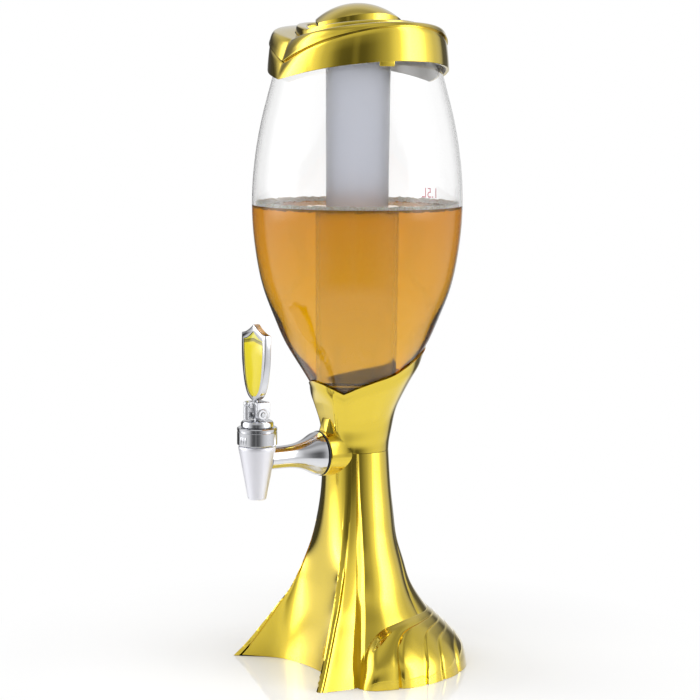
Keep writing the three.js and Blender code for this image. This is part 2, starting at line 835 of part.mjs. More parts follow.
function leverHub() {
  const side = new THREE.Shape();
  side.absarc(0, 0, hubRadius, -Math.PI, 0, false);
  side.lineTo(hubBack, hubRadius / 2);
  side.lineTo(hubBack, hubHeight);
  side.lineTo(-hubRadius, hubHeight);
  const block = toSolid(sideways(side, hubWidth));
  const bridge = new THREE.BoxGeometry(2 * footRadius, footReach, footRise / 2);
  bridge.translate(0, -spoutReach - footReach / 2, pinHeight + footRise - footRise / 4);
  const foot = atSpout(rod(footRadius, pinHeight - footDrop, pinHeight + footRise)).translate(0, -footReach, 0);
  const ball = new THREE.SphereGeometry(footRadius, coarseSides, coarseSides);
  ball.translate(0, -spoutReach - footReach, pinHeight + footRise + footRadius / 2);
  const slotWidth = eyeThickness + 2 * clearance;
  const slotDepth = slotRise + hubRadius + overrun;
  const slot = new THREE.BoxGeometry(slotWidth, 2 * (hubBack + overrun), slotDepth);
  slot.translate(0, -spoutReach + overrun + clearance, pinHeight + slotRise - slotDepth / 2);
  const pinHole = alongX(rod(pinRadius + clearance, -hubWidth, hubWidth), 0);
  const studHole = atSpout(rod(studRadius + clearance, hubTop - studLength - clearance, hubTop + overrun));
  studHole.translate(0, -badgeOffset, 0);
  const lever = join(block, toSolid(bridge), toSolid(foot), toSolid(ball));
  return toGeometry(cut(lever, toSolid(slot), toSolid(pinHole), toSolid(studHole)));
}

// Badge: shares of its half width at shares of its height, from the lower point to the shoulders
const shieldShares = [
  [0, 0], [0.035, 0.28], [0.09, 0.53], [0.16, 0.7], [0.25, 0.82], [0.4, 0.93], [0.58, 1], [0.76, 1], [0.86, 0.97],
];
const shieldPeakShare = 0.9;
const shieldBendShare = 0.5;

function shieldShape(inset) {
  const scale = (badgeHalfWidth - inset) / badgeHalfWidth;
  const middle = badgeHeight / 2;
  const place = ([rise, share]) => [badgeHalfWidth * share * scale, middle + (rise * badgeHeight - middle) * scale];
  const right = shieldShares.map(place);
  const shape = new THREE.Shape();
  right.forEach(([across, rise], index) => (index ? shape.lineTo(across, rise) : shape.moveTo(across, rise)));
  const peak = middle + middle * scale;
  const dip = peak - (peak - middle) * (1 - shieldPeakShare);
  const bend = badgeHalfWidth * scale * shieldBendShare;
  shape.quadraticCurveTo(bend, dip - badgeRim / 2, 0, peak);
  const [cornerX, cornerZ] = right[right.length - 1];
  shape.quadraticCurveTo(-bend, dip - badgeRim / 2, -cornerX, cornerZ);
  right.slice(1, -1).reverse().forEach(([across, rise]) => shape.lineTo(-across, rise));
  return shape;
}

function shield(inset, depth, face) {
  const options = { depth, bevelEnabled: false, curveSegments: curveSteps };
  const plate = new THREE.ExtrudeGeometry(shieldShape(inset), options);
  return plate.rotateX(quarterTurn).translate(0, -spoutReach - badgeOffset - face, badgeBottom);
}

function badgeFrame() {
  const back = -badgeThickness / 2;
  const plate = toSolid(shield(0, badgeThickness, back));
  const pocketDepth = panelThickness + clearance;
  const pocket = toSolid(shield(badgeRim, pocketDepth + overrun, badgeThickness / 2 - pocketDepth));
  const stud = atSpout(rod(studRadius, hubTop - studLength, badgeBottom + badgeRim));
  stud.translate(0, -badgeOffset, 0);
  return toGeometry(join(cut(plate, pocket), toSolid(stud)));
}

function badgePanel() {
  return shield(badgeRim + clearance, panelThickness, badgeThickness / 2 - panelThickness);
}

// Materials
const finish = (color, roughness, metalness) => new THREE.MeshStandardMaterial({ color, roughness, metalness });
const clearFinish = (color, opacity) => {
  const material = finish(color, 0.08, 0);
  material.transparent = true;
  material.opacity = opacity;
  return material;
};
const gold = () => finish(0xdcc03a, 0.15, 1);
const chrome = () => finish(0xd8d9dc, 0.12, 1);
const silicone = () => finish(0xe6e4dd, 0.6, 0);
const blackRubber = () => finish(0x181818, 0.55, 0);
const steel = () => finish(0xb9bcc0, 0.3, 1);

const pieces = {
  lower_body: [lowerBody(), gold()],
  bottom_plate: [bottomPlate(), finish(0x26241f, 0.6, 0)],
  collar: [collar(), gold()],
  tank: [tank(), clearFinish(0xf4f7f8, 0.25)],
  tank_gasket: [tankGasket(), silicone()],
  tank_nut: [tankNut(), finish(0xece9e0, 0.5, 0)],
  drink: [drink(), clearFinish(0xd08a12, 0.8)],
  boss_oring: [bossOring(), blackRubber()],
  tap_gasket: [tapGasket(), silicone()],
  tap_shank: [tapShank(), chrome()],
  spout_body: [spoutBody(), chrome()],
  ring_nut: [ringNut(), chrome()],
  bonnet: [bonnet(), chrome()],
  stem_seal: [stemSeal(), blackRubber()],
  valve_stem: [valveStem(), steel()],
  valve_cup: [valveCup(), blackRubber()],
  lever_hub: [leverHub(), chrome()],
  lever_pin: [leverPin(), steel()],
  badge_frame: [badgeFrame(), chrome()],
  badge_panel: [badgePanel(), finish(0xf2e030, 0.35, 0)],
  lid_band: [lidBand(), gold()],
  lid_crown: [lidCrown(), gold()],
  lid_tier: [lidTier(), gold()],
  lid_dome: [lidDome(), gold()],
  lid_seal: [lidSeal(), silicone()],
  ice_tube: [iceTube(), clearFinish(0xe9eaee, 0.7)],
};
postPlaces.forEach((place, index) => {
  pieces[`bottom_screw_${index + 1}`] = [bottomScrew(place), steel()];
});

const tower = new THREE.Group();
tower.name = 'beer_tower';
for (const [name, [geometry, material]] of Object.entries(pieces)) {
  const mesh = new THREE.Mesh(closed(geometry), material);
  mesh.name = name;
  tower.add(mesh);
}

export default tower;
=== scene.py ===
# %% [markdown]
# # A table-top drink tower
#
# The object is a clear barrel-shaped tank on a gold pedestal, with a stepped gold lid, an ice tube that hangs in the
# drink and a lever tap. The solids of every piece come packed as a frame, with their bodies and joints. This lesson
# makes the surfaces that the eye sees around that frame, piece by piece, in metres and in the frame's own place.

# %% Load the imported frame
import math

import bpy
import numpy as np
from mathutils import Matrix, Vector


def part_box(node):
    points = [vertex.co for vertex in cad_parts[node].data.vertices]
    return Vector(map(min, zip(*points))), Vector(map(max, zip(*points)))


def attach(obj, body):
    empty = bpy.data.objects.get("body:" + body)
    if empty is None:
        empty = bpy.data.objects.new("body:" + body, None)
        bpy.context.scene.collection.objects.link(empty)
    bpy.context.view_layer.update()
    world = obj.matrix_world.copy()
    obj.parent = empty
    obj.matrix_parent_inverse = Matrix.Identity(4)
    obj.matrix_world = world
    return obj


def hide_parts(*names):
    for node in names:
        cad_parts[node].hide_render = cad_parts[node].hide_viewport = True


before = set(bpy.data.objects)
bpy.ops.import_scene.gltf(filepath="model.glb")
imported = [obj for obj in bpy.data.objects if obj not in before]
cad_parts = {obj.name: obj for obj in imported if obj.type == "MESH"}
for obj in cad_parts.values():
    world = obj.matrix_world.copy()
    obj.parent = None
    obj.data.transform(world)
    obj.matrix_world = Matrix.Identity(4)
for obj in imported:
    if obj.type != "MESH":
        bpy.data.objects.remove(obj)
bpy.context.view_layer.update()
MM = 0.001

# %% [markdown]
# ## Camera
#
# The photograph was taken from the right of the tap, a little above the drink's surface, with a long lens. A camera
# could be aimed by eye, but its place was worked out instead from where the tower's axis, toes and rims fall in the
# picture.

# %% Camera
VIEW_SIDE = 57
VIEW_PITCH = 7.04
VIEW_ROLL = 0.4

lens = bpy.data.cameras.new("camera")
lens.sensor_width = 36
lens.lens = 109.54
lens.clip_end = 50
camera = bpy.data.objects.new("camera", lens)
bpy.context.scene.collection.objects.link(camera)
camera.location = (1.2975, -0.848, 0.4245)
turn = Matrix.Rotation(math.radians(VIEW_SIDE), 3, "Z")
tilt = Matrix.Rotation(math.radians(90 - VIEW_PITCH), 3, "X")
roll = Matrix.Rotation(math.radians(VIEW_ROLL), 3, "Z")
camera.rotation_euler = (turn @ tilt @ roll).to_euler()
bpy.context.scene.camera = camera
bpy.context.scene.view_settings.view_transform = "Standard"
print("camera at", [round(value, 3) for value in camera.location])

# %% [markdown]
# ## Helpers for nodes
#
# Colours are picked as sRGB hex values, and Blender's sockets hold linear ones, so one function turns the first into
# the second. `node` adds a node with its settings and links: a name with a capital is a socket, `stops` fill a colour
# ramp, and any other name is a setting of the node itself. The four small functions after it add the kinds that come
# back again and again.

# %% Colour and nodes
def linear(colour):
    shares = [int(colour[place:place + 2], 16) / 255 for place in (1, 3, 5)]
    return tuple(share / 12.92 if share <= 0.04045 else ((share + 0.055) / 1.055) ** 2.4 for share in shares) + (1,)


def node(tree, kind, settings=None, links=None):
    made = tree.nodes.new("ShaderNode" + kind)
    for name, value in (settings or {}).items():
        if name == "stops":
            while len(made.color_ramp.elements) < len(value):
                made.color_ramp.elements.new(1)
            for element, (place, colour) in zip(made.color_ramp.elements, value):
                element.position = place
                element.color = linear(colour)
        elif name[0].isupper():
            made.inputs[name].default_value = value
        else:
            setattr(made, name, value)
    for name, source in (links or {}).items():
        tree.links.new(source, made.inputs[name])
    return made


def calc(tree, operation, *values):
    made = node(tree, "Math", {"operation": operation})
    for socket, value in zip(made.inputs, values):
        if isinstance(value, (int, float)):
            socket.default_value = value
        else:
            tree.links.new(value, socket)
    return made.outputs[0]


def ranged(tree, source, to=(0.0, 1.0), start=(0.0, 1.0), **settings):
    limits = {"From Min": start[0], "From Max": start[1], "To Min": to[0], "To Max": to[1]}
    return node(tree, "MapRange", {**limits, **settings}, {"Value": source}).outputs[0]


def ramp(tree, source, stops):
    return node(tree, "ValToRGB", {"stops": stops}, {"Fac": source}).outputs[0]


def bump(tree, source, strength, depth):
    return node(tree, "Bump", {"Strength": strength, "Distance": depth * MM}, {"Height": source}).outputs[0]


print("white is", linear("#FFFFFF"))

# %% [markdown]
# Each finish is a small graph around one shader. `noise` takes the size of its lumps in millimetres, one size or one
# for each axis. Most finishes need no more than one such grain, that moves the roughness, the surface or both, so
# `grained` makes them in one call.

# %% Finishes
def noise(tree, place, size, detail):
    scale = 1.0
    if isinstance(size, tuple):
        stretch = tuple(1 / (length * MM) for length in size)
        place = node(tree, "Mapping", {"Scale": stretch}, {"Vector": place}).outputs[0]
    else:
        scale = 1 / (size * MM)
    return node(tree, "TexNoise", {"Scale": scale, "Detail": detail}, {"Vector": place}).outputs[0]


def new_finish(name, colour, **sockets):
    made = bpy.data.materials.new(name)
    made.use_nodes = True
    tree = made.node_tree
    tree.nodes.clear()
    settings = {"Base Color": linear(colour)}
    settings.update({socket.replace("_", " "): value for socket, value in sockets.items()})
    shader = node(tree, "BsdfPrincipled", settings)
    node(tree, "OutputMaterial", {}, {"Surface": shader.outputs[0]})
    return made, tree, shader, node(tree, "TexCoord").outputs["Object"]


def wire(shader, **sources):
    for name, source in sources.items():
        shader.id_data.links.new(source, shader.inputs[name.replace("_", " ")])


def grained(name, colour, size, detail, rough=None, relief=None, **sockets):
    made, tree, shader, place = new_finish(name, colour, **sockets)
    grain = noise(tree, place, size, detail)
    if rough:
        wire(shader, Roughness=ranged(tree, grain, rough))
    if relief:
        wire(shader, Normal=bump(tree, grain, *relief))
    print("finish", name)
    return made


# %% [markdown]
# ## Gold: vacuum plated ABS
#
# Pedestal, collar and lid are moulded ABS, plated with aluminium in a vacuum chamber and sealed with a clear yellow
# lacquer. The metal under the lacquer is slightly satin and strongly yellow, with hardly any blue left in it; the
# lacquer on top is sharp and colourless. The moulding below ripples very slightly, about 16 mm from crest to crest,
# and the plating is a little less sharp in cloudy patches.

# %% Gold finish
gold, tree, shader, place = new_finish(
    "vacuum_plated_abs_gold", "#E4C833", Metallic=1.0, Coat_Weight=1.0, Coat_Roughness=0.04, Coat_IOR=1.5,
)
ripple, cloud = noise(tree, place, 16, 1.0), noise(tree, place, 22, 4.0)
wire(shader, Normal=bump(tree, ripple, 0.3, 0.1), Roughness=ranged(tree, cloud, (0.08, 0.15)))
print("finish", gold.name)

# %% [markdown]
# ## Chrome, satin chrome and plated casting
#
# The tap is cast zinc. Shank, nut, bonnet and badge are polished before they are chrome plated, so they mirror the
# room with the faint lines of the polishing wheel. The spout is blasted first, which leaves a matt, almost white
# satin. The lever's block is plated as it was cast, with its rough skin.

# %% Chrome finishes
chrome = grained("polished_chrome_plating", "#D9DADE", (9, 9, 0.9), 3.0, rough=(0.05, 0.16), Metallic=1.0)
satin = grained(
    "blasted_satin_chrome", "#E8E8EE", 0.6, 2.0, rough=(0.42, 0.54), relief=(0.3, 0.03), Metallic=1.0,
)
cast = grained(
    "plated_rough_casting", "#CFD0D4", 1.4, 3.0, rough=(0.38, 0.54), relief=(0.5, 0.08), Metallic=1.0,
)

# %% [markdown]
# ## Clear and milky plastic
#
# The tank is blown from a clear styrene plastic. It bends light like acrylic, and blowing leaves long shallow waves
# in the wall. The ice tube is frosted: in air its fine grain spreads the light, and it looks milky and slightly blue.
# Where it stands in the drink the liquid fills the grain, and it turns almost clear, with a soft change at the wet
# line.

# %% Plastic finishes
clear = grained(
    "clear_blown_styrene", "#FFFFFF", (40, 40, 90), 1.0, relief=(0.25, 0.2),
    Transmission_Weight=1.0, IOR=1.49, Roughness=0.0,
)

WET_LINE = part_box("drink")[1][2]
milky, tree, shader, place = new_finish("frosted_polypropylene", "#E6E7F0", IOR=1.49)
height = node(tree, "SeparateXYZ", {}, {"Vector": place}).outputs["Z"]
dry = ranged(tree, height, start=(WET_LINE - 9 * MM, WET_LINE + 1 * MM))
dull = ranged(tree, dry, (0.1, 1.0))
wire(dull.node, To_Max=ranged(tree, noise(tree, place, 18, 3.0), (0.28, 0.4)))
wire(
    shader, Roughness=dull, Transmission_Weight=ranged(tree, dry, (0.97, 0.9)),
    Base_Color=ramp(tree, dry, [(0.0, "#FFFDF6"), (1.0, "#F4F6FD")]),
)
print("finish", milky.name)

# %% [markdown]
# ## The drink and its froth
#
# A pale lager is a clear amber liquid. It bends light a little more than water does, and the tint deepens with the
# way that light takes through it: it is richest where the tank is widest. Left standing it keeps only a thin ring of
# small bubbles along the wall.

# %% Liquid and froth finishes
drink, tree, shader, place = new_finish(
    "amber_lager", "#D99A1C", Transmission_Weight=1.0, IOR=1.345, Roughness=0.0,
)
height = node(tree, "SeparateXYZ", {}, {"Vector": place}).outputs["Z"]
wire(shader, Base_Color=ramp(tree, ranged(tree, height, start=(0.19, 0.34)), [
    (0.0, "#F0B41A"), (0.35, "#E6AA08"), (0.7, "#DC9A02"), (1.0, "#D08800"),
]))

froth, tree, shader, place = new_finish(
    "thin_froth", "#F7EFE2", Roughness=0.45, Subsurface_Weight=0.4, Transmission_Weight=0.25, IOR=1.33,
)
bubbles = node(tree, "TexVoronoi", {"Scale": 1 / (1.3 * MM)}, {"Vector": place}).outputs["Distance"]
shade = ramp(tree, bubbles, [(0.0, "#FFFDF8"), (1.0, "#CDB58E")])
wire(shader, Normal=bump(tree, bubbles, 0.9, 0.4), Base_Color=shade)
print("finishes", drink.name, froth.name)

# %% [markdown]
# ## Small finishes
#
# Rubber and silicone are moulded and matt. Screws, stem and pin are turned steel with fine rings. The plate
# underneath is plain dark moulded plastic with a spark-eroded grain, and the plating doesn't reach the inside of the
# gold pieces, where the grey plastic is bare. The volume mark is a thin red print.

# %% Small finishes
rubber = grained("black_nitrile_rubber", "#161616", 0.8, 3.0, relief=(0.4, 0.03), Roughness=0.5, IOR=1.52)
silicone = grained(
    "moulded_silicone", "#E9E7E0", 2.5, 3.0, rough=(0.42, 0.6), Roughness=0.5, IOR=1.42, Subsurface_Weight=0.2,
)
steel = grained("turned_stainless_steel", "#C4C6C9", (1000, 1000, 0.25), 2.0, rough=(0.18, 0.34), Metallic=1.0)
base_plastic = grained("moulded_dark_abs", "#24221E", 0.5, 3.0, relief=(0.5, 0.05), Roughness=0.6, IOR=1.53)
bare = grained("unplated_grey_abs", "#D6D3CE", 4, 3.0, rough=(0.32, 0.48), Roughness=0.4, IOR=1.53)
nut_plastic = grained("moulded_natural_nylon", "#ECE9E0", 3, 2.0, rough=(0.38, 0.52), Roughness=0.45, IOR=1.53)

print_ink, tree, shader, place = new_finish(
    "red_screen_print", "#D85A72", Roughness=0.4, IOR=1.5, Transmission_Weight=0.9,
)
wire(shader, Base_Color=ramp(tree, noise(tree, place, 0.4, 1.0), [(0.3, "#CC4560"), (0.8, "#E07A90")]))
print("materials so far", len(bpy.data.materials))

# %% [markdown]
# ## Tools for turned and lofted shapes
#
# Nearly every piece is turned about an axis, and the gold ones are then pulled out of round. Each could be drawn as
# a curve with a Screw modifier. Here it starts as a circle with as many points as the outline, whose points are set
# on the outline and spun about the axis in edit mode, because the result is plain quads in tidy columns. Those
# columns can then be gathered where the folds run, and pulled out and in by a function of angle and height.

# %% Turning, placing and reshaping
def select_only(piece):
    bpy.ops.object.select_all(action="DESELECT")
    piece.select_set(True)
    bpy.context.view_layer.objects.active = piece


def edit_all(piece, *steps):
    select_only(piece)
    bpy.ops.object.mode_set(mode="EDIT")
    for step, settings in steps:
        bpy.ops.mesh.select_all(action="SELECT")
        step(**settings)
    bpy.ops.object.mode_set(mode="OBJECT")
    return piece


def tidy(piece):
    mesh = bpy.ops.mesh
    return edit_all(
        piece, (mesh.remove_doubles, {"threshold": 0.002 * MM}), (mesh.delete_loose, {}),
        (mesh.normals_make_consistent, {"inside": False}),
    )


def set_in(piece, location, rotation=(0, 0, 0)):
    select_only(piece)
    piece.location = [value * MM for value in location]
    piece.rotation_euler = [math.radians(angle) for angle in rotation]
    bpy.ops.object.transform_apply(location=True, rotation=True, scale=True)
    return piece


def loop(name, points, **settings):
    bpy.ops.mesh.primitive_circle_add(vertices=len(points), radius=10 * MM, **settings)
    piece = bpy.context.object
    piece.name = name
    for point, place in zip(piece.data.vertices, points):
        point.co = [value * MM for value in place]
    return piece


def turned(name, outline, steps=128, at=(0, 0, 0), tilt=(0, 0, 0)):
    piece = loop(name, [(0, -radius, height) for radius, height in outline])
    spin = {"steps": steps, "angle": math.tau, "center": (0, 0, 0), "axis": (0, 0, 1)}
    return set_in(tidy(edit_all(piece, (bpy.ops.mesh.spin, spin))), at, tilt)


def raised(base, points):
    return [(radius, base + rise) for radius, rise in points]


def points_of(piece):
    places = np.empty(len(piece.data.vertices) * 3)
    piece.data.vertices.foreach_get("co", places)
    return places.reshape(-1, 3)


def place_round(piece, angle, radius, height):
    turns = np.radians(angle)
    places = np.stack([radius * np.sin(turns), -radius * np.cos(turns), height], axis=1) * MM
    piece.data.vertices.foreach_set("co", places.ravel())
    piece.data.update()
    return piece


def reshape(piece, change):
    x, y, z = points_of(piece).T / MM
    return place_round(piece, *change(np.degrees(np.arctan2(x, -y)), np.hypot(x, y), z))


# %% [markdown]
# The tap and the badge also need plain blocks, bevelled edges and Boolean steps. `finished` closes every piece: it
# cleans the mesh, smooths it up to an angle, gives it its finish, ties it to its body, and hides the solids that it
# stands for.

# %% Blocks, modifiers and the last step of every piece
def block(name, low_corner, high_corner):
    middle = [(a + b) / 2 * MM for a, b in zip(low_corner, high_corner)]
    scale = [(b - a) * MM for a, b in zip(low_corner, high_corner)]
    bpy.ops.mesh.primitive_cube_add(size=1, location=middle, scale=scale)
    piece = bpy.context.object
    piece.name = name
    bpy.ops.object.transform_apply(location=True, rotation=True, scale=True)
    return piece


def modify(piece, kind, **settings):
    select_only(piece)
    made = piece.modifiers.new(kind.lower(), kind)
    for name, value in settings.items():
        setattr(made, name, value)
    bpy.ops.object.modifier_apply(modifier=made.name)
    return piece


def edged(piece, width, segments=3):
    return modify(piece, "BEVEL", width=width * MM, segments=segments, limit_method="ANGLE")


def combine(piece, operation, *parts):
    for part in parts:
        modify(piece, "BOOLEAN", operation=operation, object=part, solver="EXACT")
        bpy.data.objects.remove(part)


def finished(piece, body, material, nodes=(), smooth=32):
    tidy(piece)
    bpy.ops.object.shade_smooth_by_angle(angle=math.radians(smooth))
    piece.data.materials.clear()
    piece.data.materials.append(material)
    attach(piece, body)
    if nodes:
        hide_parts(*nodes)
    sizes = [round(value / MM, 1) for value in piece.dimensions]
    print(piece.name, "measures", sizes, "mm,", len(piece.data.polygons), "faces")


# %% [markdown]
# Outlines are drawn as a few measured points. Straight lines between them would show as rings in a mirror finish, so
# two ways of rounding are kept: `firm` never swings past its points, and suits steps, while `flowing` has no jump in
# its bend, and suits long shapes like the tank.

# %% Lines through measured points
def hermite(x, y, tangent, at):
    at = np.clip(at, x[0], x[-1])
    low = np.clip(np.searchsorted(x, at) - 1, 0, len(x) - 2)
    step = x[low + 1] - x[low]
    t = (at - x[low]) / step
    rise = tangent[low] * t * (1 - t) ** 2 + tangent[low + 1] * t * t * (t - 1)
    return y[low] * (1 + 2 * t) * (1 - t) ** 2 + y[low + 1] * t * t * (3 - 2 * t) + step * rise


def firm(points):
    x, y = np.array(points, dtype=float).T
    slope = np.diff(y) / np.diff(x)
    tangent = np.zeros(len(x))
    same = slope[:-1] * slope[1:] > 0
    safe = np.where(same, slope[:-1], 1), np.where(same, slope[1:], 1)
    tangent[1:-1] = np.where(same, 2 / (1 / safe[0] + 1 / safe[1]), 0)
    tangent[0], tangent[-1] = slope[0], slope[-1]
    return lambda at: hermite(x, y, tangent, at)


def flowing(points):
    x, y = np.array(points, dtype=float).T
    step, count = np.diff(x), len(x)
    system, rhs = np.eye(count) * 2, np.zeros(count)
    for row in range(1, count - 1):
        before, after = 1 / step[row - 1], 1 / step[row]
        system[row, row - 1:row + 2] = before, 2 * (before + after), after
        rhs[row] = 3 * ((y[row] - y[row - 1]) * before ** 2 + (y[row + 1] - y[row]) * after ** 2)
    system[0, 1] = system[-1, -2] = 1
    rhs[0], rhs[-1] = 3 * (y[1] - y[0]) / step[0], 3 * (y[-1] - y[-2]) / step[-1]
    tangent = np.linalg.solve(system, rhs)
    return lambda at: hermite(x, y, tangent, at)


print("half way up a firm line", round(float(firm([(0, 0), (1, 1), (2, 4)])(1.5)), 3))

# %% [markdown]
# ## Heights
#
# A few heights and radii tie the pieces together. Several heights are read from the frame's own pieces, so that the
# surfaces stay where the solids are; the others are given.

# %% Heights from the frame
def low(name, axis=2):
    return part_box(name)[0][axis] / MM


def high(name, axis=2):
    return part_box(name)[1][axis] / MM


NECK = 160.0
NECK_RADIUS = 24.3
CLEARANCE = 0.3
TAP = (low("tap_shank") + high("tap_shank")) / 2
SPOUT_REACH = 84.0
TANK_TALL = 257
TANK_RADIUS = 76.5
TANK_TOP = high("tank")
SHOULDER = TANK_TOP - TANK_TALL
LEVEL = high("drink")
print("tap axis", round(TAP, 1), "tank", round(SHOULDER, 1), "to", round(TANK_TOP, 1), "drink to", round(LEVEL, 1))

# %% [markdown]
# ## Pedestal
#
# The pedestal is one hollow moulding. From a round neck it flares into a concave front arch between two sharp toes,
# a narrow pleat behind each toe, and a round back. The plan changes at every height, so it could be a stack of
# lofted sections. It is turned as a plain flare instead, and each column of points is then led to one of the folds:
# the root of the toe, the two edges of its rim, and the two lines of the pleat. That keeps every fold one clean edge
# from neck to floor.

# %% The flare's measured curves
LEVELS = [0, 8, 16, 24, 34, 42, 46, 60, 76, 92, 110, 130, 160]
ARCH = [1, 0.93, 0.86, 0.79, 0.7, 0.62, 0.58, 0.45, 0.33, 0.22, 0.12, 0.04, 0]
RIDGE = [1, 0.885, 0.785, 0.693, 0.578, 0.49, 0.44, 0.31, 0.206, 0.121, 0.06, 0.018, 0]
COLUMN = [1, 0.926, 0.851, 0.758, 0.628, 0.525, 0.471, 0.311, 0.216, 0.128, 0.08, 0.039, 0]


def reach(shares, end):
    shape = flowing(list(zip(LEVELS, shares)))
    return lambda height: NECK_RADIUS + (end - NECK_RADIUS) * shape(height)


front_radius = reach(ARCH, 38)
root_radius = reach(RIDGE, 60)
toe_radius = reach(RIDGE, 91)
pleat_radius = reach(RIDGE, 76.5)
column_radius = reach(COLUMN, 78)
crease_line = firm([(0, 112), (42, 121), (50, 124), (60, 129), (78, 133), (110, 140), (160, 147)])
crease_rise = firm([(0, 1.2), (46, 1.5), (70, 1.0), (100, 0.45), (140, 0)])
pleat_gap = firm([(0, 1.2), (12, 2.2), (31, 4.2), (56, 7), (84, 8.5), (105, 7.5), (130, 4.5), (160, 2.5)])
pleat_depth = firm([(0, 1.5), (40, 1.6), (90, 1.0), (130, 0.6), (160, 0.25)])
print("toe to", round(float(toe_radius(0)), 1), "and back to", round(float(column_radius(0)), 1), "at the floor")

# %% [markdown]
# `fold_angles` says at which angle each fold runs at a height, and `FOLD_COLUMNS` which of the turned columns are led
# there. `stepwise` goes from value to value between such knots, and `skin` uses it to give the radius at an angle and
# a height, with its own easing from fold to fold. A narrow groove runs behind the rim of each toe.

# %% The skin of the pedestal
TOE_ANGLE = 40.5
TOE_RIM = 2.4
FOLD_COLUMNS = [0, 46, 52, 56, 58, 60, 78, 83, 88, 180]
STRAIGHT = [lambda t: t] * (len(FOLD_COLUMNS) - 1)
EASES = [lambda t: t ** 2.3] + STRAIGHT[1:5] + [lambda t: t ** 0.85] + STRAIGHT[6:8] + [lambda t: 1 - (1 - t) ** 9]


def stepwise(at, knots, values, eases):
    result = np.array(values[0], dtype=float)
    for place, ease in enumerate(eases):
        span = np.maximum(knots[place + 1] - knots[place], 1e-6)
        t = np.clip((at - knots[place]) / span, 0, 1)
        eased = values[place] + (values[place + 1] - values[place]) * ease(t)
        result = np.where(at >= knots[place], eased, result)
    return result


def fold_angles(height):
    rim = np.degrees(TOE_RIM / toe_radius(height))
    gap = pleat_gap(height)
    flat = np.zeros_like(height)
    toe = TOE_ANGLE + rim
    return [flat, flat + 40, flat + TOE_ANGLE, toe, toe + 0.4 * rim, toe + 0.8 * rim,
            flat + 59, 59.6 + gap / 2, 60.2 + gap, flat + 180]


def arched(height):
    return np.clip((toe_radius(height) - front_radius(height)) / 14, 0, 1)


def skin(angle, height):
    side = np.abs(angle)
    height = np.clip(height, 0, NECK)
    depth = pleat_depth(height)
    toe = toe_radius(height)
    groove = 1.3 * arched(height)
    radii = [
        front_radius(height), root_radius(height), toe, toe, toe - groove, toe - 0.15 * groove,
        pleat_radius(height) - depth, column_radius(height) + 0.6 * depth,
        column_radius(height) - 0.5 * depth, column_radius(height),
    ]
    radius = stepwise(side, fold_angles(height), radii, EASES)
    past =np.clip((side - crease_line(height)) / 16, -1, 1)
    shift = np.where(past < 0, -0.45 * (1 + past) ** 2, 0.55 * np.sin(np.clip(past, 0, 1) * math.pi / 2))
    return radius + crease_rise(height) * np.where(side > 100, shift, 0)


def column_angle(column_place, height):
    return np.copysign(stepwise(np.abs(column_place), FOLD_COLUMNS, fold_angles(height), STRAIGHT), column_place)


print("folds at the floor", [round(float(angle), 1) for angle in fold_angles(0.0)])

# %% [markdown]
# The front between the toes is one sweep: it leaves the middle level and turns until it runs straight out along each
# toe. A curve over the angle can't turn that far, so in plan the front is a Bezier curve from the middle to the toe's
# edge, whose handles point at the corner between the two directions. Towards the neck it becomes a circle's arc. A
# small bead runs along the toe's edge.

# %% The front sweep and the shell
ARC_PULL, SWEEP_PULL = 0.6455, 0.87
WALL = 2.4


def front_sweep(share, height):
    front, toe, flare = front_radius(height), toe_radius(height), arched(height)
    corner_angle = np.radians(TOE_ANGLE) * (0.5 + 0.5 * flare)
    pull = ARC_PULL + (SWEEP_PULL - ARC_PULL) * flare
    toe_turn = math.radians(TOE_ANGLE)
    corner = np.array([front * np.tan(corner_angle), -front])
    start = np.array([np.zeros_like(front), -front])
    end = np.array([toe * math.sin(toe_turn), -toe * math.cos(toe_turn)])
    first, second = start + (corner - start) * pull, end + (corner - end) * pull
    rest = 1 - share
    x, y = start * rest ** 3 + 3 * first * rest ** 2 * share + 3 * second * rest * share ** 2 + end * share ** 3
    bead = 1.4 * flare * np.clip((share - 0.945) / 0.012, 0, 1)
    return np.degrees(np.arctan2(x, -y) - bead / toe), np.hypot(x, y)


def pedestal_skin(angle, radius, height):
    height = np.clip(height, 0, NECK)
    inner = radius < column_radius(height) - WALL / 2
    side = np.abs(angle)
    sweep_angle, sweep_radius = front_sweep(np.clip(side / FOLD_COLUMNS[2], 0, 1), height)
    in_front = side <= FOLD_COLUMNS[2]
    led = column_angle(angle, height)
    outer_radius = np.where(in_front, sweep_radius, skin(led, height))
    outer_angle = np.where(in_front, np.copysign(sweep_angle, angle), led)
    spread = np.degrees(WALL / outer_radius)
    nearby = np.minimum(skin(led - spread, height), skin(led + spread, height))
    inner_radius = np.where(in_front, front_radius(height), np.minimum(nearby, outer_radius)) - WALL
    return np.where(inner, led, outer_angle), np.where(inner, inner_radius, outer_radius), height


outer_levels = np.concatenate([np.linspace(0, 60, 34), np.linspace(62, NECK, 36)])
outline = [(float(column_radius(level)), level) for level in outer_levels]
outline += [(float(column_radius(level)) - WALL, level) for level in (NECK, 120, 80, 50, 30, 15, 6, 0)]
pedestal = reshape(turned("pedestal_shell", outline, steps=360), pedestal_skin)
finished(pedestal, "stand", gold, ["lower_body"], smooth=38)

# %% [markdown]
# ## Petal fans
#
# Each side of the foot carries a fan of petals. They start side by side at the floor, rise, and sweep back one over
# the other until they meet behind. Cut into the turned skin their lines would run across its columns and show as
# saw teeth. So the fan is a sheet of its own, a grid whose lines follow the petals: one way across the petals, the
# other way along them from the floor to the back. It then gets its thickness, and a mirror gives the other side.

